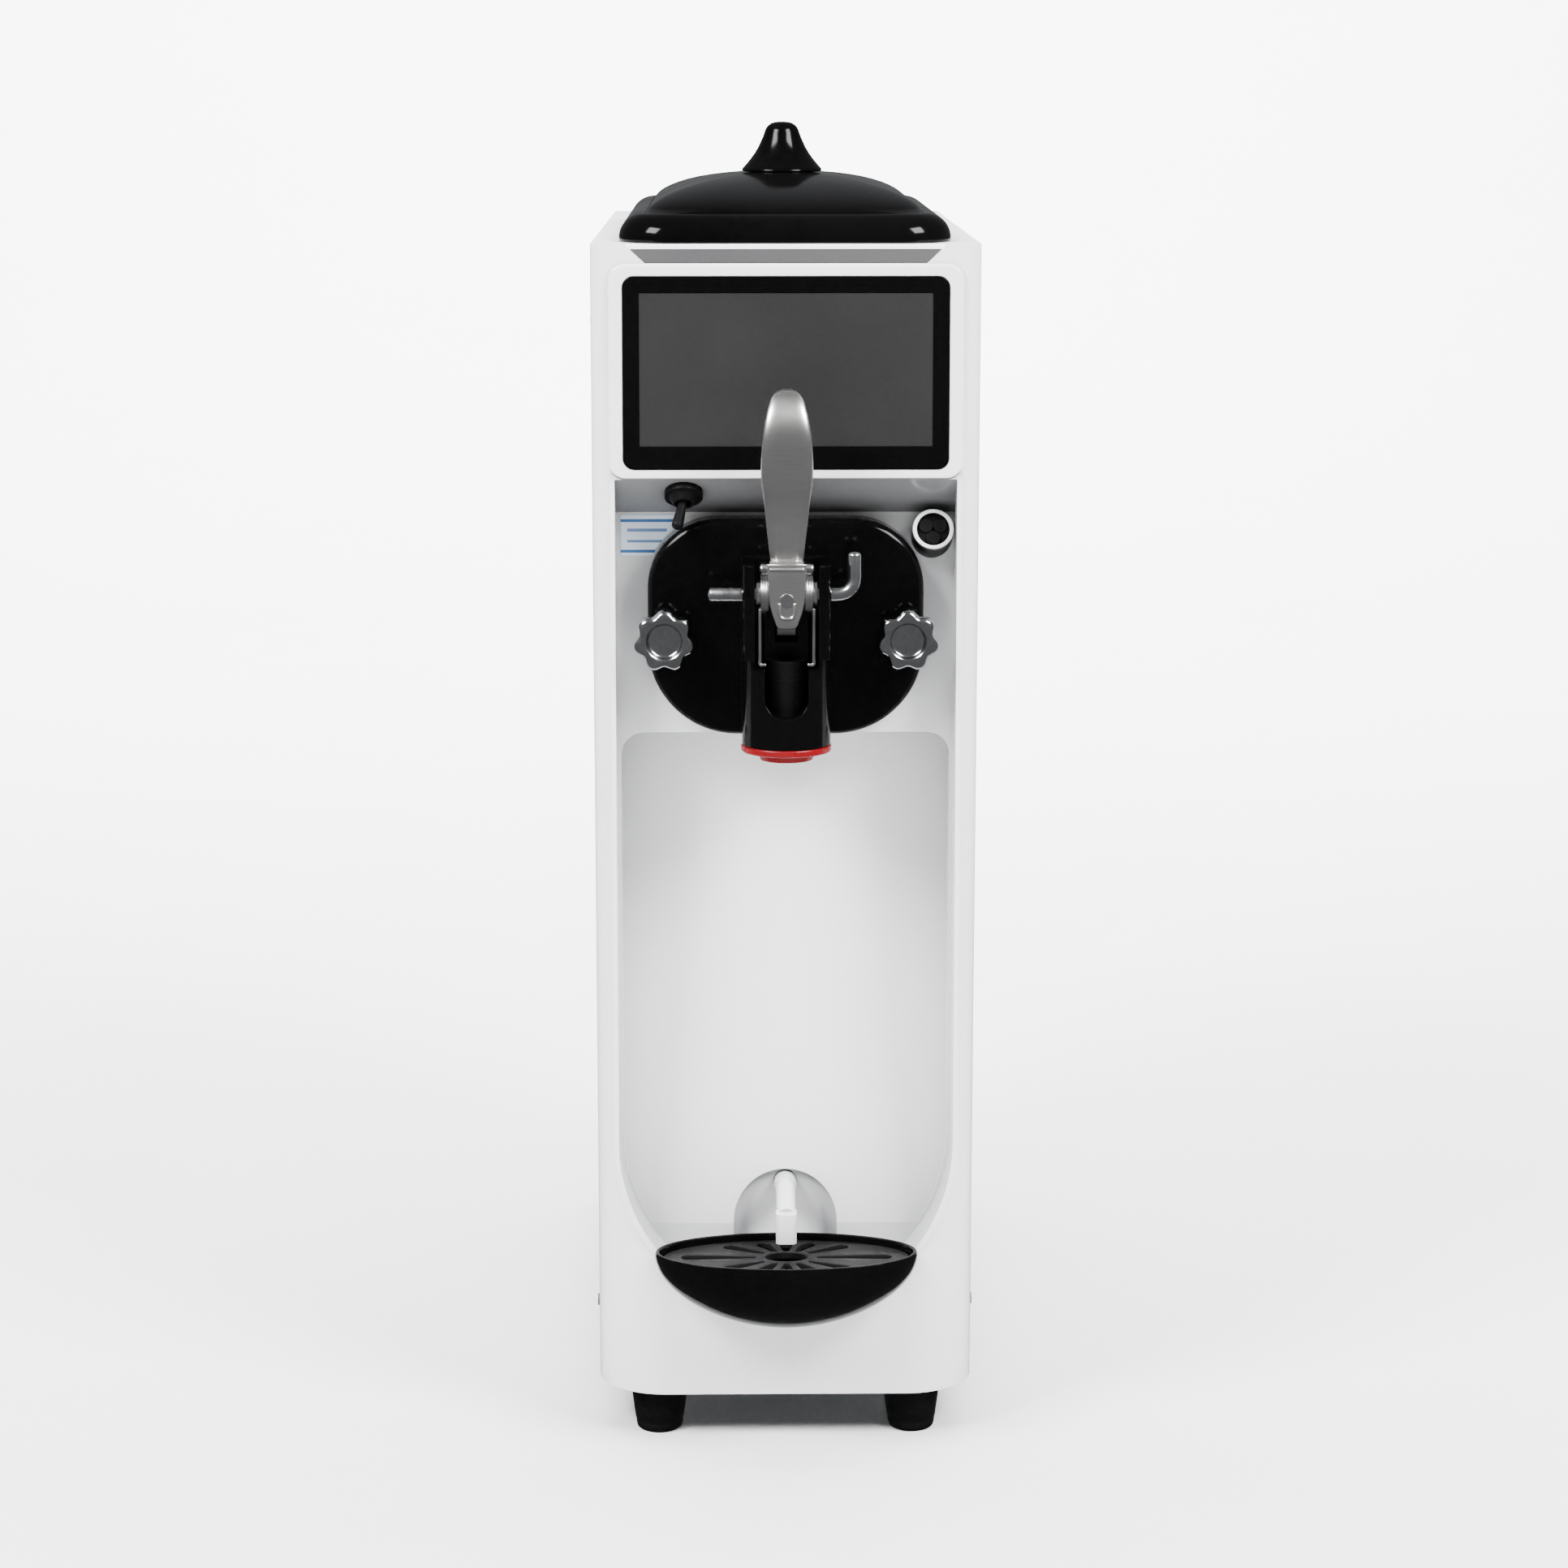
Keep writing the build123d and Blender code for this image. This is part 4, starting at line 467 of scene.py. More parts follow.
def make_board():
    """Circuit board: green mask with a lattice of paler tracks."""
    material = finish("board_green", (0.02, 0.10, 0.045), (0.03, 0.13, 0.06), 0.38, (900.0, (1, 1, 1), 0.02))
    tree, shader, colour = parts_of(material)
    coords = node(tree, "ShaderNodeTexCoord")
    tracks = node(tree, "ShaderNodeTexBrick", in4=260.0, in5=0.06)
    tree.links.new(coords.outputs["Object"], tracks.inputs["Vector"])
    drawn = blend(tree, tracks.outputs["Fac"], colour, (0.10, 0.26, 0.13, 1))
    tree.links.new(drawn, shader.inputs["Base Color"])


def make_spangle():
    """Zinc-coated sheet: crystals of slightly different greys."""
    material = finish("galvanised", (0.33, 0.35, 0.37), (0.40, 0.42, 0.44), 0.38, (500.0, (1, 1, 1), 0.01),
                      (30.0, 0.12), metallic=1.0)
    tree, shader, colour = parts_of(material)
    coords = node(tree, "ShaderNodeTexCoord")
    crystals = node(tree, "ShaderNodeTexVoronoi", in2=140.0)
    tree.links.new(coords.outputs["Object"], crystals.inputs["Vector"])
    bright = maths(tree, "MULTIPLY", crystals.outputs["Color"], 0.4)
    tree.links.new(blend(tree, bright, colour, (0.52, 0.54, 0.56, 1)), shader.inputs["Base Color"])


def paint_hollow_shade(material, reach, share, shade):
    """Paint shade into a finish's colour: darker where the surface is shut in."""
    tree, shader, colour = parts_of(material)
    hollow_shade_node = effect(tree, "painted_hollow_shade", reach=reach)
    mask = maths(tree, "MULTIPLY", hollow_shade_node.outputs[0], share)
    tree.links.new(blend(tree, mask, colour, (*shade, 1)), shader.inputs["Base Color"])


def shade_below(material, share, shade):
    """Let a finish go darker where the surface faces down."""
    tree, shader, colour = parts_of(material)
    coords = node(tree, "ShaderNodeTexCoord")
    axes = node(tree, "ShaderNodeSeparateXYZ")
    tree.links.new(coords.outputs["Normal"], axes.inputs[0])
    mask = spread(tree, axes.outputs["Z"], -0.1, -0.62, 0.0, share)
    tree.links.new(blend(tree, mask, colour, (*shade, 1)), shader.inputs["Base Color"])


def make_finishes():
    """Every slot's finish."""
    white_edge = (0.0009, (0.90, 0.90, 0.90), 0.5)
    dark = {"specular": 0.09}
    white = finish("white_plastic", (0.80, 0.805, 0.815), (0.775, 0.78, 0.79), 0.20, (260.0, (1, 1, 1), 0.012),
                   (6.0, 0.05), white_edge, coat=0.35)
    # Painted shade on the white plastic: darker in recesses and under ledges, and on faces turned down.
    paint_hollow_shade(white, 0.075, 0.6, (0.28, 0.285, 0.295))
    shade_below(white, 0.92, (0.065, 0.066, 0.069))
    finish("white_steel", (0.78, 0.785, 0.795), (0.755, 0.76, 0.77), 0.33, (620.0, (1, 1, 1), 0.02),
           (7.0, 0.06), white_edge)
    finish("rubber", (0.0022, 0.0022, 0.0022), (0.004, 0.004, 0.004), 0.55, (900.0, (1, 1, 1), 0.06),
           (30.0, 0.15), (0.0012, (0.012, 0.012, 0.012), 0.6), **dark)
    finish("steel", (0.46, 0.465, 0.47), (0.43, 0.435, 0.44), 0.28, (1400.0, (1, 1, 1), 0.01),
           (25.0, 0.04), metallic=1.0)
    finish("polished_steel", (0.52, 0.525, 0.53), (0.45, 0.455, 0.46), 0.22, (900.0, (0.15, 1, 1), 0.006),
           (40.0, 0.08), metallic=1.0)
    finish("chrome", (0.50, 0.505, 0.51), (0.42, 0.425, 0.43), 0.13, (300.0, (1, 1, 1), 0.008),
           (40.0, 0.07), metallic=1.0)
    finish("brushed_steel", (0.70, 0.685, 0.67), (0.64, 0.627, 0.614), 0.28, (900.0, (0.08, 1, 1), 0.012),
           (20.0, 0.04), metallic=1.0)
    finish("cast_alloy", (0.48, 0.49, 0.50), (0.40, 0.41, 0.42), 0.45, (380.0, (1, 1, 1), 0.08),
           (25.0, 0.15), metallic=1.0)
    finish("copper", (0.55, 0.26, 0.14), (0.40, 0.17, 0.09), 0.26, (300.0, (1, 1, 1), 0.01),
           (30.0, 0.2), metallic=1.0)
    finish("black_plastic", (0.0035, 0.0035, 0.0036), (0.005, 0.005, 0.0052), 0.36, (1300.0, (1, 1, 1), 0.03),
           (30.0, 0.12), (0.0008, (0.02, 0.02, 0.02), 0.5), **dark)
    finish("black_glass", (0.0012, 0.0012, 0.0013), (0.0017, 0.0017, 0.0018), 0.06, (240.0, (1, 1, 1), 0.003),
           (10.0, 0.08), **dark)
    finish("gloss_black", (0.0010, 0.0010, 0.0011), (0.0016, 0.0016, 0.0017), 0.09, (180.0, (1, 1, 1), 0.006),
           (11.0, 0.08), (0.0008, (0.01, 0.01, 0.01), 0.4), soft=0.9, **dark)
    finish("black_paint", (0.010, 0.010, 0.011), (0.016, 0.016, 0.017), 0.34, (520.0, (1, 1, 1), 0.03),
           (20.0, 0.12))
    finish("silicone", (0.45, 0.46, 0.46), (0.38, 0.39, 0.39), 0.5, (800.0, (1, 1, 1), 0.03), (30.0, 0.1))
    finish("red_plastic", (0.16, 0.0005, 0.0030), (0.13, 0.0004, 0.0025), 0.26, (420.0, (1, 1, 1), 0.02),
           (25.0, 0.1), (0.0008, (0.26, 0.004, 0.006), 0.4), specular=0.25)
    finish("grey_plastic", (0.0075, 0.0075, 0.0078), (0.0105, 0.0105, 0.0108), 0.36, (900.0, (1, 1, 1), 0.03),
           (25.0, 0.12), (0.0007, (0.03, 0.03, 0.03), 0.4), **dark)
    # Painted shade: the dark grey of the finger relief sheet stands in for the shade under the lid's rim.
    finish("relief_grey", (0.034, 0.034, 0.035), (0.041, 0.041, 0.042), 0.42, (900.0, (1, 1, 1), 0.03),
           (25.0, 0.12), specular=0.2)
    finish("foam", (0.52, 0.50, 0.44), (0.42, 0.40, 0.35), 0.85, (260.0, (1, 1, 1), 0.35), (20.0, 0.1))
    make_display()
    make_label()
    make_board()
    make_spangle()


def finish_of(slot):
    """Finish of a material slot."""
    if slot not in FINISHES:
        raise RuntimeError("no finish is made for slot " + slot)
    return FINISHES[slot]


# Settings

class StageSettings(bpy.types.PropertyGroup):
    """Floor and light."""

    floor: bpy.props.FloatVectorProperty(
        name="Floor colour", description="Colour of the floor and the sweep behind the machine",
        subtype="COLOR", size=3, min=0.0, max=1.0, default=(0.90, 0.90, 0.90))
    key_power: bpy.props.FloatProperty(
        name="Key light", description="Power of the large overhead light",
        default=290.0, min=0.0, unit="POWER")
    side_power: bpy.props.FloatProperty(
        name="Side lights", description="Power of each front side panel",
        default=290.0, min=0.0, unit="POWER")


class LidSettings(bpy.types.PropertyGroup):
    """Lid."""

    rim_height: bpy.props.FloatProperty(
        name="Rim height", description="Height of the lid's rolled rim", default=0.017, min=0.01, max=0.03,
        unit="LENGTH", subtype="DISTANCE")
    dome_rise: bpy.props.FloatProperty(
        name="Dome rise", description="Height of the dome above the rim", default=0.021, min=0.0, max=0.04,
        unit="LENGTH", subtype="DISTANCE")


class KnobSettings(bpy.types.PropertyGroup):
    """Star knobs."""

    lobes: bpy.props.IntProperty(
        name="Lobes", description="Number of lobes round each star knob", default=7, min=5, max=9)
    reach: bpy.props.FloatProperty(
        name="Reach", description="Radius over the lobes", default=0.0191, min=0.01, max=0.03,
        unit="LENGTH", subtype="DISTANCE")


class SpringSettings(bpy.types.PropertyGroup):
    """Return spring."""

    turns: bpy.props.IntProperty(
        name="Turns", description="Turns in each of the two coils", default=3, min=1, max=6)
    wire: bpy.props.FloatProperty(
        name="Wire", description="Diameter of the spring wire", default=0.0020, min=0.001, max=0.003,
        unit="LENGTH", subtype="DISTANCE")


class TraySettings(bpy.types.PropertyGroup):
    """Drip tray."""

    slots: bpy.props.IntProperty(
        name="Slots", description="Number of slots round the tray's grille", default=12, min=6, max=16)


# Operators

class ICECREAM_OT_finishes(bpy.types.Operator):
    """Make every finish and put each CAD node in its own."""

    bl_idname = "icecream.finishes"
    bl_label = "Finishes"

    def execute(self, context):
        make_finishes()
        slots = {part["node"]: part["material_slot"] for part in frame["record"]["subparts"]}
        slots["piston_rings"] = "rubber"
        for name, piece in frame["nodes"].items():
            piece.data.materials.clear()
            piece.data.materials.append(finish_of(slots[name]))
        return {"FINISHED"}


class ICECREAM_OT_lid(bpy.types.Operator):
    """Lid with a rolled rim, a groove and a shallow dome."""

    bl_idname = "icecream.lid"
    bl_label = "Lid"

    def execute(self, context):
        low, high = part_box("lid")
        base = low.z / MM
        half_x = (high.x - low.x) / 2 / MM
        half_y = (high.y - low.y) / 2 / MM
        depth = (low.y + high.y) / 2 / MM - FRONT
        rim = context.scene.ice_lid.rim_height / MM
        rise = context.scene.ice_lid.dome_rise / MM
        outside = [(3.4, 0.0), (0.9, 0.0), (0.2, 0.3), (0.0, 1.0)]
        for step in range(13):
            turn = pi / 2 * step / 12
            outside.append((15.2 * (1 - cos(turn)), 2.0 + (rim - 2.0) * sin(turn)))
        outside += [(15.7, rim - 0.3), (16.0, rim - 1.2), (16.4, rim - 1.3), (16.7, rim - 0.4)]
        loops = []
        for inset, up in outside:
            loops.append(plan_loop(half_x - inset, half_y - inset, 32 - inset, base + up, depth))
        dome = [0.995, 0.985, 0.965, 0.93, 0.88, 0.82, 0.74, 0.65, 0.55, 0.44, 0.33, 0.22, 0.12, 0.04]
        dome_x = half_x - 17
        dome_y = half_y - 17
        for share in dome:
            up = base + rim + rise * (1 - share ** 2) ** 0.6
            round_off = dome_x * share * (0.95 - 0.75 * share)
            radius = max(round_off, 15.0 * share + dome_x * share * 0.3)
            loops.append(plan_loop(dome_x * share, dome_y * share, radius, up, depth))
        for share in (0.04, 0.3, 0.6, 0.85, 0.96):
            up = base + rim - 3.2 + (rise - 1.0) * (1 - share ** 2) ** 0.6
            loops.append(plan_loop((dome_x - 3) * share, (dome_y - 3) * share, 30 * share, up, depth))
        inside = ((19, rim - 4), (14, rim - 4.5), (12, rim - 6), (12, 4.4), (11.4, 4), (4, 4), (3.4, 3.4))
        for inset, up in inside:
            loops.append(plan_loop(half_x - inset, half_y - inset, max(32 - inset, 10), base + up, depth))
        fit(skin("lid_shell", loops, wrap=True), "lid_body", "gloss_black", ["lid"], crease=50)
        return {"FINISHED"}


class ICECREAM_OT_lid_knob(bpy.types.Operator):
    """Bell-shaped knob in the middle of the lid."""

    bl_idname = "icecream.lid_knob"
    bl_label = "Lid knob"

    def execute(self, context):
        low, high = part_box("lid_knob")
        centre = Vector(((low.x + high.x) / 2, (low.y + high.y) / 2, low.z))
        tall = (high.z - low.z) / MM
        wide = (high.x - low.x) / 2 / MM
        shape = [(0.0, 0.0), (0.94, 0.0), (0.985, 0.01), (1.0, 0.035), (0.985, 0.065), (0.94, 0.105),
                 (0.87, 0.17), (0.78, 0.26), (0.69, 0.36), (0.60, 0.48), (0.53, 0.60), (0.475, 0.70),
                 (0.44, 0.78), (0.415, 0.84), (0.38, 0.89), (0.33, 0.935), (0.265, 0.968), (0.185, 0.988),
                 (0.095, 0.998), (0.0, 1.0)]
        profile = [(radius * wide, up * tall) for radius, up in shape]
        piece = turned("lid_bell_knob", centre, (0, 0, 1), profile, 72, wrap=False)
        fit(piece, "lid_body", "gloss_black", ["lid_knob"])
        return {"FINISHED"}


class ICECREAM_OT_star_knobs(bpy.types.Operator):
    """Pair of lobed door knobs with dished middles."""

    bl_idname = "icecream.star_knobs"
    bl_label = "Star knobs"

    def execute(self, context):
        settings = context.scene.ice_knobs
        reach = settings.reach / MM
        count = settings.lobes * 16
        steps = [(0.56, 4.0, 1.0), (0.58, 3.9, 1.0), (0.60, -1.6, 1.0), (0.74, -2.2, 0.6), (0.90, -2.6, 0.0),
                 (0.955, -3.2, 0.0), (0.99, -4.6, 0.0), (1.0, -6.6, 0.0), (0.995, -9.4, 0.0),
                 (0.975, -11.4, 0.0), (0.93, -12.9, 0.05), (0.87, -13.7, 0.15), (0.80, -14.0, 0.4),
                 (0.70, -13.9, 0.8), (0.64, -13.6, 1.0), (0.60, -12.9, 1.0), (0.57, -11.7, 1.0),
                 (0.53, -11.0, 1.0), (0.45, -10.7, 1.0), (0.30, -10.5, 1.0), (0.12, -10.45, 1.0),
                 (0.0, -10.4, 1.0)]
        for side, node_name in ((-1, "star_knob_left"), (1, "star_knob_right")):
            low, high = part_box(node_name)
            x = (low.x + high.x) / 2 / MM
            z = STAR_KNOB_Z
            loops = []
            for share, depth, circle in steps:
                loop = []
                for step in range(count):
                    angle = tau * step / count + pi / 2
                    wave = (1 - cos(settings.lobes * (angle - pi / 2))) / 2
                    lobed = 1.0 - 0.165 * wave ** 1.25
                    radius = reach * max(share, 0.001) * (lobed * (1 - circle) + circle * 0.92)
                    loop.append(spot(x + radius * cos(angle), depth, z + radius * sin(angle)))
                loops.append(loop)
            piece = skin(node_name + "_turned", loops)
            fit(piece, "knob_left" if side < 0 else "knob_right", "chrome", [node_name], crease=60)
        return {"FINISHED"}


class ICECREAM_OT_handle(bpy.types.Operator):
    """Curved draw handle: broad grip, neck with bevelled sides."""

    bl_idname = "icecream.handle"
    bl_label = "Draw handle"

    def execute(self, context):
        stations = [(553.2, -30.6, 9.6, 4.3), (556, -30.9, 10.0, 4.5), (566, -32.2, 11.1, 4.6),
                    (576, -33.8, 12.2, 4.6), (586, -35.6, 13.2, 4.6), (592, -36.9, 13.9, 4.7),
                    (595, -37.7, 14.5, 5.1), (599, -38.5, 15.0, 5.2), (606, -40.2, 15.3, 5.0),
                    (614, -42.1, 15.3, 4.7), (620, -43.3, 15.0, 4.5), (625, -44.1, 14.6, 4.3),
                    (629, -44.4, 14.2, 4.2), (633, -44.3, 13.6, 4.1), (637, -43.7, 12.9, 4.0),
                    (640.5, -42.7, 12.2, 3.9), (644, -41.2, 11.3, 3.8), (647, -39.5, 10.4, 3.6),
                    (649.7, -37.6, 9.3, 3.4), (652, -35.6, 7.7, 3.0), (653.8, -33.8, 5.4, 2.4),
                    (654.8, -32.6, 2.8, 1.4)]
        loops = []
        for z, depth, half, thick in stations:
            neck = min(max((598.0 - z) / 10.0, 0.0), 1.0)
            loop = []
            for step in range(40):
                angle = tau * step / 40
                power = 0.5 - 0.06 * neck
                x = half * abs(cos(angle)) ** power * (1 if cos(angle) > 0 else -1)
                y = thick * abs(sin(angle)) ** (power + 0.12) * (1 if sin(angle) > 0 else -1)
                if y < 0 and neck > 0:
                    y = max(y, -thick * (0.35 + 0.65 * min(1.0, (half - abs(x)) / (half * 0.42))) * neck
                            - thick * (1 - neck))
                loop.append(spot(x, depth + y, z))
            loops.append(loop)
        fit(skin("draw_handle_grip", loops), "handle", "brushed_steel", ["draw_handle"], crease=42)
        return {"FINISHED"}


class ICECREAM_OT_spring(bpy.types.Operator):
    """Return spring: two coils on the pivot with long hooked legs."""

    bl_idname = "icecream.spring"
    bl_label = "Return spring"

    def execute(self, context):
        settings = context.scene.ice_spring
        wire = settings.wire / MM
        radius = 11.55
        pieces = []
        for side in (-1, 1):
            leave = radians(223.5)
            total = tau * settings.turns
            steps = 40 * settings.turns
            points = []
            for step in range(steps + 1):
                share = step / steps
                angle = leave + total * (1 - share)
                x = side * (11.4 + (15.9 - 11.4) * share)
                points.append((x, PIVOT_DEPTH + radius * cos(angle), PIVOT_Z + radius * sin(angle)))
            leg_x = side * 15.9
            path = [spot(*point) for point in points]
            hook = [(leg_x, -36.4, 492.2), (side * 12.6, -36.4, 492.2)]
            path += eased([points[-1], (leg_x, -36.6, 520), *hook], 2.2)[1:]
            pieces.append(rod("coil", path, wire / 2, 14))
        fit(join("return_spring_coils", pieces), "door", "steel", ["return_spring"], crease=60)
        return {"FINISHED"}


class ICECREAM_OT_pin(bpy.types.Operator):
    """Pivot pin with one end bent up as a finger pull."""

    bl_idname = "icecream.pin"
    bl_label = "Pivot pin"

    def execute(self, context):
        low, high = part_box("pivot_pin")
        top = high.z / MM
        corners = [(x, PIVOT_DEPTH, PIVOT_Z) for x in (-44.5, -20, 10, 40)]
        path = eased(corners + [(40, PIVOT_DEPTH, top - 1.6)], 11, steps=12)
        fit(rod("pivot_pin_rod", path, 4.0, 32), "pin", "polished_steel", ["pivot_pin"])
        return {"FINISHED"}


class ICECREAM_OT_clevis_plate(bpy.types.Operator):
    """Tapered face plate of the handle's clevis, with its U-shaped rib."""

    bl_idname = "icecream.clevis_plate"
    bl_label = "Clevis plate"

    def execute(self, context):
        outline = [(11.6, 552.6), (11.9, 551.6), (11.4, 542), (10.8, 534), (9.9, 527.5), (8.6, 522.5),
                   (7.2, 518.8), (6.4, 516.2), (5.2, 514.7), (3.6, 514.2)]
        outline += [(-x, z) for x, z in reversed(outline)]
        loops = []
        for depth, inset in ((-39.4, 0.0), (-40.4, 0.0), (-40.9, 0.35), (-41.0, 0.9)):
            across, along = 1 - inset / 11, 1 - inset / 19
            loops.append([spot(x * across, depth, 534 + (z - 534) * along) for x, z in outline])
        plate = skin("plate", loops)
        turns = [(x, -41.2, z) for x, z in ((-4.3, 529), (-4.3, 520.2), (4.3, 520.2), (4.3, 529))]
        rib = rod("rib", eased(turns, 3.6), 0.75, 12)
        ledge = rod("ledge", eased([(-9.6, -41.1, 549.4), (9.6, -41.1, 549.4)], 1.0), 0.8, 12)
        fit(join("clevis_face_plate", [plate, rib, ledge]), "handle", "brushed_steel", [], crease=40)
        return {"FINISHED"}


class ICECREAM_OT_relief(bpy.types.Operator):
    """Painted shade: a dark grey sheet in the finger relief, standing in for the shade under the lid's rim."""

    bl_idname = "icecream.relief"
    bl_label = "Finger relief painted shade"

    def execute(self, context):
        loops = []
        for lift in (0.15, 0.55):
            loop = []
            for x, share in ((-96.2, 0.97), (-83.6, 0.02), (83.6, 0.02), (96.2, 0.97)):
                loop.append(spot(x, 15 * share - lift * 0.6, 726 + 11 * share + lift * 0.8))
            loops.append(loop)
        fit(skin("finger_relief_painted_shade", loops), "body", "grey_plastic", [], own_finish="relief_grey")
        return {"FINISHED"}


class ICECREAM_OT_tray(bpy.types.Operator):
    """Oval drip tray with a rolled rim and a flat back where it hangs on the ledge."""

    bl_idname = "icecream.tray"
    bl_label = "Drip tray"

    def execute(self, context):
        rim, count = TRAY_RIM, 112
        wide, deep = TRAY_HALF_X, TRAY_HALF_Y
        outer, inner = [], []
        for step in range(1, 19):
            t = step / 18
            fullness = (1 - t) ** 3 + 3 * (1 - t) ** 2 * t + 1.5 * (1 - t) * t ** 2
            drop = 1.5 * (1 - t) ** 2 * t + 3 * (1 - t) * t ** 2 + t ** 3
            outer.append((wide * fullness, deep * fullness, rim - 1.5 - 46 * drop))
            inner.append(((wide - TRAY_WALL) * fullness, (deep - TRAY_WALL) * fullness, rim - 1.5 - 43 * drop))
        lip = [(wide - inset, deep - inset, rim - below)
               for inset, below in ((TRAY_WALL, 1.5), (2.5, 0.4), (1.6, 0.0), (0.7, 0.2), (0.0, 1.5))]
        loops = []
        parts = ((inner[::-1], LEDGE_Z + TRAY_WALL, -3.6), (lip, 0.0, 60.0), (outer, LEDGE_Z, -0.6))
        for rows, ledge, back in parts:
            stops = []
            for index, (half_x, half_y, z) in enumerate(rows):
                before = rows[max(index - 1, 0)]
                if (before[2] - ledge) * (z - ledge) < 0:
                    share = (ledge - before[2]) / (z - before[2])
                    at_x = before[0] + (half_x - before[0]) * share
                    at_y = before[1] + (half_y - before[1]) * share
                    stops += [(at_x, at_y, ledge, before[2] < z), (at_x, at_y, ledge, before[2] > z)]
                stops.append((half_x, half_y, z, z < ledge))
            for half_x, half_y, z, cut in stops:
                loop = []
                for step in range(count):
                    a = tau * step / count
                    depth = TRAY_MIDDLE + max(half_y, 0.02) * sin(a)
                    loop.append(spot(max(half_x, 0.02) * cos(a), min(depth, back) if cut else depth, z))
                loops.append(loop)
        fit(skin("drip_tray_bowl", loops), "tray_body", "gloss_black", ["drip_tray"], crease=40)
        return {"FINISHED"}


class ICECREAM_OT_grille(bpy.types.Operator):
    """Oval grille plate with a ring of teardrop slots round an oval hole."""

    bl_idname = "icecream.grille"
    bl_label = "Tray grille"

    def execute(self, context):
        rounding = 0.5 * MM
        outlines = []
        for half_x, half_y in ((75.0, 32.8), (13.0, 8.0)):
            turns = [tau * step / 96 for step in range(96)]
            outlines.append([(half_x * cos(a), half_y * sin(a)) for a in turns])
        count = context.scene.ice_tray.slots
        for slot in range(count):
            turn = tau * slot / count - pi / 2
            near = 1 / ((cos(turn) / 20) ** 2 + (sin(turn) / 13) ** 2) ** 0.5
            far = 1 / ((cos(turn) / 60) ** 2 + (sin(turn) / 24) ** 2) ** 0.5
            lean = asin((4.2 - 1.8) / (far - near))
            outline = []
            for reach, radius, first, last in ((far, 4.2, -pi / 2 - lean, pi / 2 + lean),
                                               (near, 1.8, pi / 2 + lean, 3 * pi / 2 - lean)):
                for step in range(15):
                    a = first + (last - first) * step / 14
                    along, across = reach + radius * cos(a), radius * sin(a)
                    outline.append((along * cos(turn) - across * sin(turn),
                                    along * sin(turn) + across * cos(turn)))
            outlines.append(outline)
        curve = bpy.data.curves.new("grille_outline", "CURVE")
        curve.dimensions = "2D"
        curve.fill_mode = "BOTH"
        curve.extrude = 2.0 * MM - rounding
        curve.bevel_depth = rounding
        curve.bevel_resolution = 2
        curve.offset = -rounding
        for outline in outlines:
            spline = curve.splines.new("POLY")
            spline.points.add(len(outline) - 1)
            spline.use_cyclic_u = True
            for point, (x, y) in zip(spline.points, outline):
                point.co = (x * MM, y * MM, 0.0, 1.0)
        drawn = bpy.data.objects.new("grille_outline", curve)
        context.scene.collection.objects.link(drawn)
        context.view_layer.update()
        mesh = bpy.data.meshes.new_from_object(drawn.evaluated_get(context.evaluated_depsgraph_get()))
        bpy.data.objects.remove(drawn)
        bpy.data.curves.remove(curve)
        work = bmesh.new()
        work.from_mesh(mesh)
        bmesh.ops.remove_doubles(work, verts=work.verts, dist=1e-6)
        bmesh.ops.recalc_face_normals(work, faces=work.faces)
        bmesh.ops.translate(work, verts=work.verts, vec=spot(0.0, TRAY_MIDDLE, TRAY_RIM - 6.0))
        work.to_mesh(mesh)
        work.free()
        mesh.materials.clear()
        plate = bpy.data.objects.new("tray_grille_plate", mesh)
        context.scene.collection.objects.link(plate)
        fit(plate, "tray_body", "grey_plastic", ["tray_grille"], crease=50)
        return {"FINISHED"}


class ICECREAM_OT_feet(bpy.types.Operator):
    """Four tapered rubber feet."""

    bl_idname = "icecream.feet"
    bl_label = "Feet"

    def execute(self, context):
        profile = [(0.0, 2.2), (6.0, 2.2), (6.6, 0.4), (7.4, 0.0), (11.6, 0.0), (13.0, 0.3), (13.9, 1.2),
                   (14.3, 2.4), (14.7, 5.2), (14.4, 5.8), (14.5, 6.4), (15.1, 7.0), (16.4, 17.0), (17.3, 24.0),
                   (17.4, 26.2), (16.9, 27.0), (0.0, 27.0)]
        pieces = []
        for x in (-FOOT_X, FOOT_X):
            for depth in FOOT_DEPTHS:
                pieces.append(turned("foot", spot(x, depth, 0), (0, 0, 1), profile, 48, wrap=False))
        fit(join("rubber_feet", pieces), "body", "rubber", ["feet"])
        return {"FINISHED"}


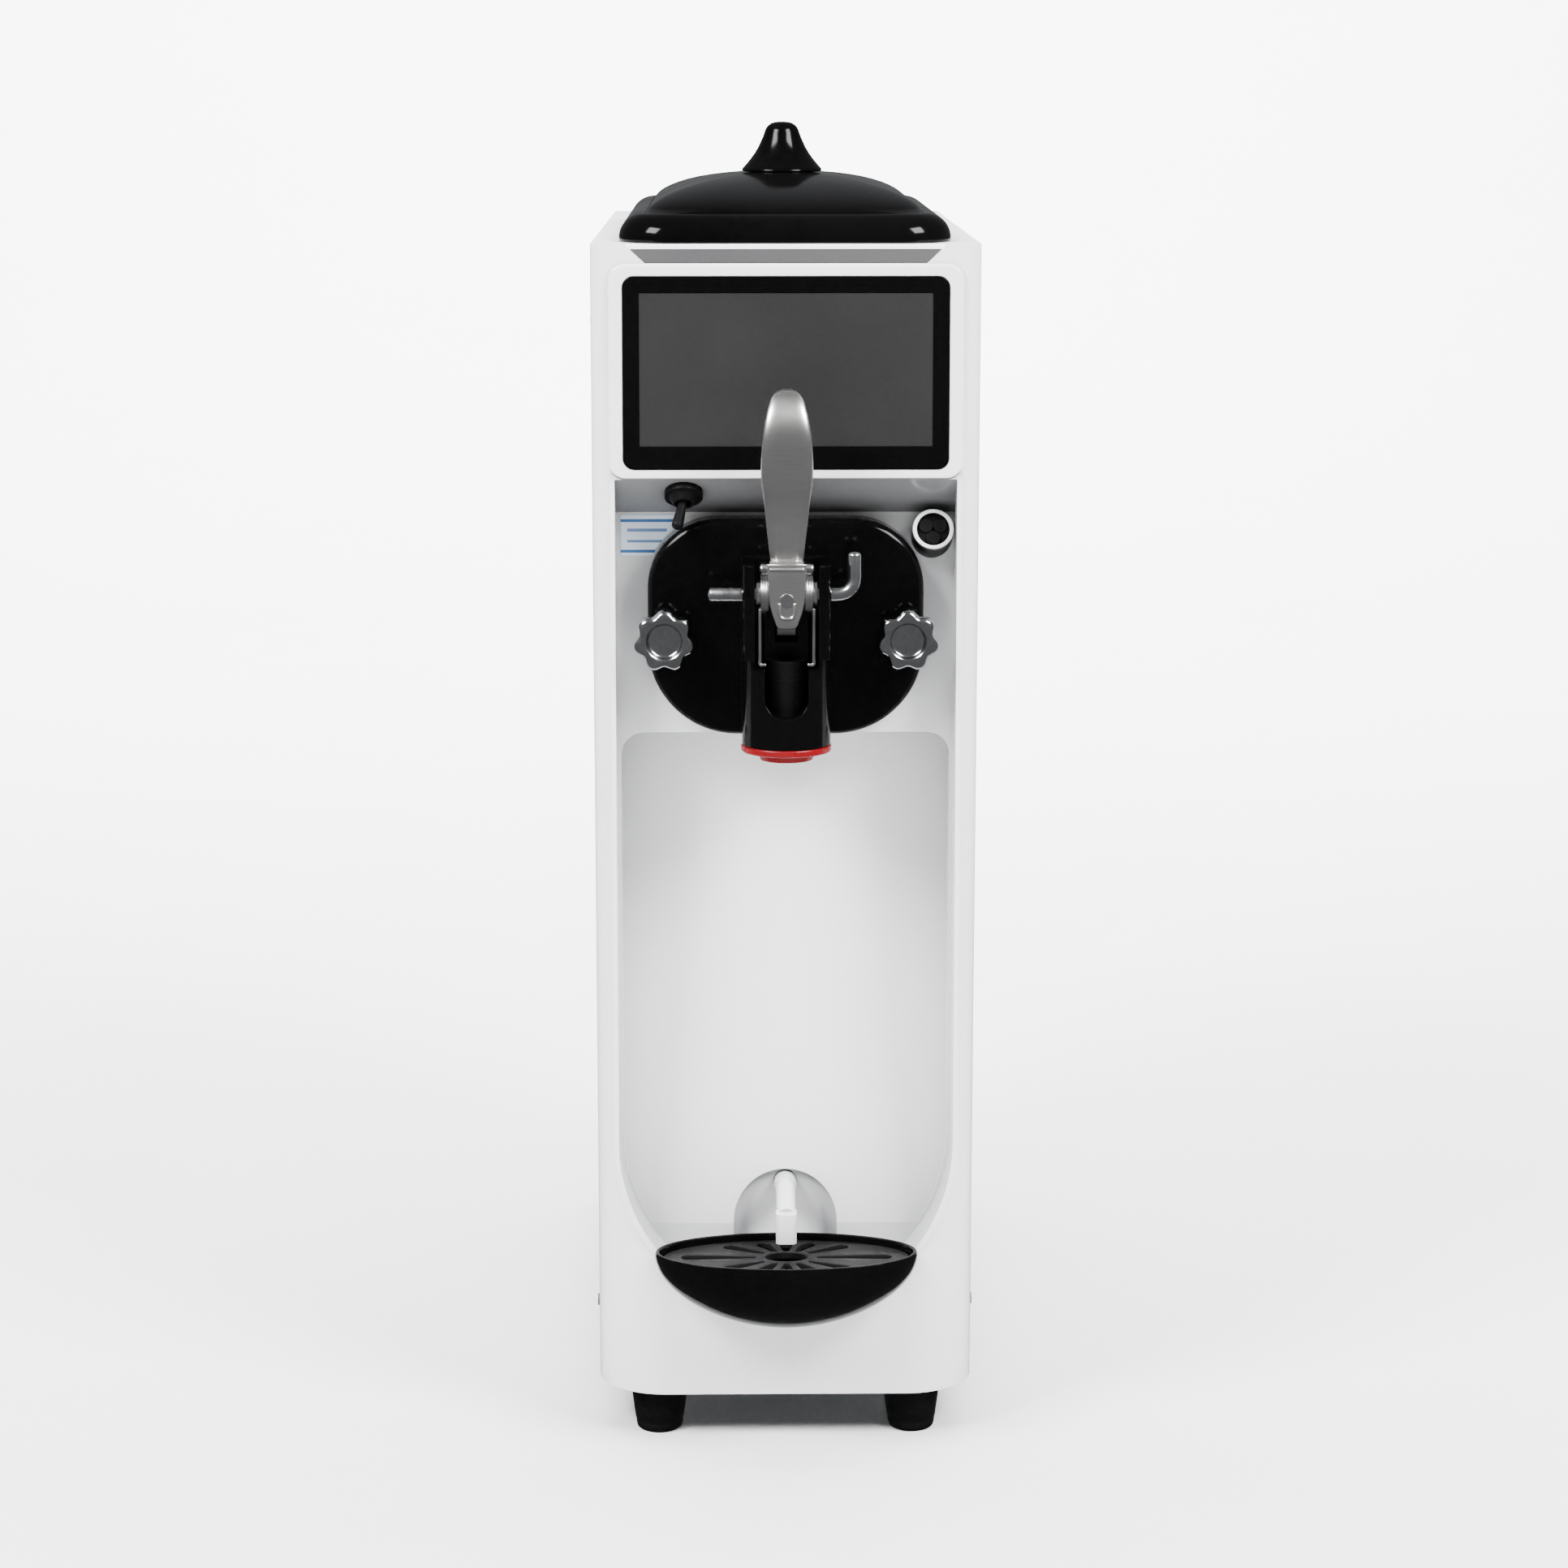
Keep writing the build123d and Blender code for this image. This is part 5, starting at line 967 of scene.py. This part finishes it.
class ICECREAM_OT_stage(bpy.types.Operator):
    """Pale floor and sweep, soft lights and the camera."""

    bl_idname = "icecream.stage"
    bl_label = "Stage"

    def execute(self, context):
        settings = context.scene.ice_stage
        sweep = []
        for step in range(-1, 14):
            if step < 0:
                y, z = -24.0, 0.0
            elif step < 12:
                angle = pi / 2 * step / 11
                y, z = 3.2 + 2.4 * sin(angle), 2.4 - 2.4 * cos(angle)
            else:
                y, z = 5.6, 2.4 + 0.3 * (step - 11)
            sweep.append([Vector((x, y, z)) for x in (-24.0, -8.0, 8.0, 24.0)])
        floor = skin("floor_sweep", sweep, ring=False, caps=False)
        floor.data.shade_smooth()
        colour = tuple(settings.floor)
        stage = finish("stage_floor", colour, tuple(c * 0.985 for c in colour), 0.55, (60.0, (1, 1, 1), 0.02),
                       (3.0, 0.05))
        floor.data.materials.append(stage)
        floor.visible_glossy = False
        key, side = settings.key_power, settings.side_power
        lights = (("overhead", (0.0, 0.6, 3.4), (0.0, 0.3, 0.0), (3.6, 2.4), key, False),
                  ("left_panel_light", (-1.9, -1.75, 2.65), (0.0, -0.2, 0.35), (1.2, 1.2), side, True),
                  ("right_panel_light", (1.9, -1.75, 2.65), (0.0, -0.2, 0.35), (1.2, 1.2), side, True),
                  ("back_wash", (0.0, 2.2, 3.6), (0.0, 5.4, 1.4), (6.0, 1.6), key * 6.0, False))
        for name, place, aim, size, power, mirrored in lights:
            data = bpy.data.lights.new(name, "AREA")
            data.shape = "RECTANGLE"
            data.size, data.size_y = size
            data.energy = power
            lamp = bpy.data.objects.new(name, data)
            lamp.location = place
            lamp.visible_glossy = mirrored
            lamp.rotation_euler = (Vector(aim) - Vector(place)).to_track_quat("-Z", "Y").to_euler()
            context.scene.collection.objects.link(lamp)
        world = bpy.data.worlds.new("studio")
        world.use_nodes = True
        world.node_tree.nodes["Background"].inputs[0].default_value = (0.95, 0.97, 1.0, 1)
        world.node_tree.nodes["Background"].inputs[1].default_value = 0.18
        context.scene.world = world
        data = bpy.data.cameras.new("camera")
        data.lens = 85.4
        data.sensor_width = 36.0
        data.shift_y = -0.1003
        camera = bpy.data.objects.new("camera", data)
        camera.location = (-0.0309, -2.423, 0.84515)
        camera.rotation_euler = (pi / 2 - 0.1514, 0.0, -0.0135)
        context.scene.collection.objects.link(camera)
        context.scene.camera = camera
        return {"FINISHED"}


OPERATORS = (ICECREAM_OT_finishes, ICECREAM_OT_lid, ICECREAM_OT_lid_knob, ICECREAM_OT_star_knobs,
             ICECREAM_OT_handle, ICECREAM_OT_clevis_plate, ICECREAM_OT_spring, ICECREAM_OT_pin,
             ICECREAM_OT_relief, ICECREAM_OT_tray, ICECREAM_OT_grille, ICECREAM_OT_feet, ICECREAM_OT_stage)
SETTINGS = (("ice_stage", StageSettings), ("ice_lid", LidSettings), ("ice_knobs", KnobSettings),
            ("ice_spring", SpringSettings), ("ice_tray", TraySettings))


class ICECREAM_PT_panel(bpy.types.Panel):
    """Lists the machine's pieces and their settings."""

    bl_idname = "ICECREAM_PT_panel"
    bl_label = "Ice Cream Maker"
    bl_space_type = "VIEW_3D"
    bl_region_type = "UI"
    bl_category = "Ice Cream"

    def draw(self, context):
        layout = self.layout
        for operator in OPERATORS:
            layout.operator(operator.bl_idname)
        for name, settings in SETTINGS:
            box = layout.box()
            box.label(text=settings.__doc__.rstrip("."))
            for key in settings.__annotations__:
                box.prop(getattr(context.scene, name), key)


def register():
    """Add the settings, operators and panel."""
    for name, settings in SETTINGS:
        bpy.utils.register_class(settings)
        setattr(bpy.types.Scene, name, bpy.props.PointerProperty(type=settings))
    for operator in OPERATORS:
        bpy.utils.register_class(operator)
    bpy.utils.register_class(ICECREAM_PT_panel)


def unregister():
    """Remove the panel, operators and settings."""
    bpy.utils.unregister_class(ICECREAM_PT_panel)
    for operator in reversed(OPERATORS):
        bpy.utils.unregister_class(operator)
    for name, settings in reversed(SETTINGS):
        delattr(bpy.types.Scene, name)
        bpy.utils.unregister_class(settings)


def main():
    """Build every piece in order."""
    register()
    for operator in OPERATORS:
        family, action = operator.bl_idname.split(".")
        getattr(getattr(bpy.ops, family), action)()


if __name__ == "__main__":
    main()
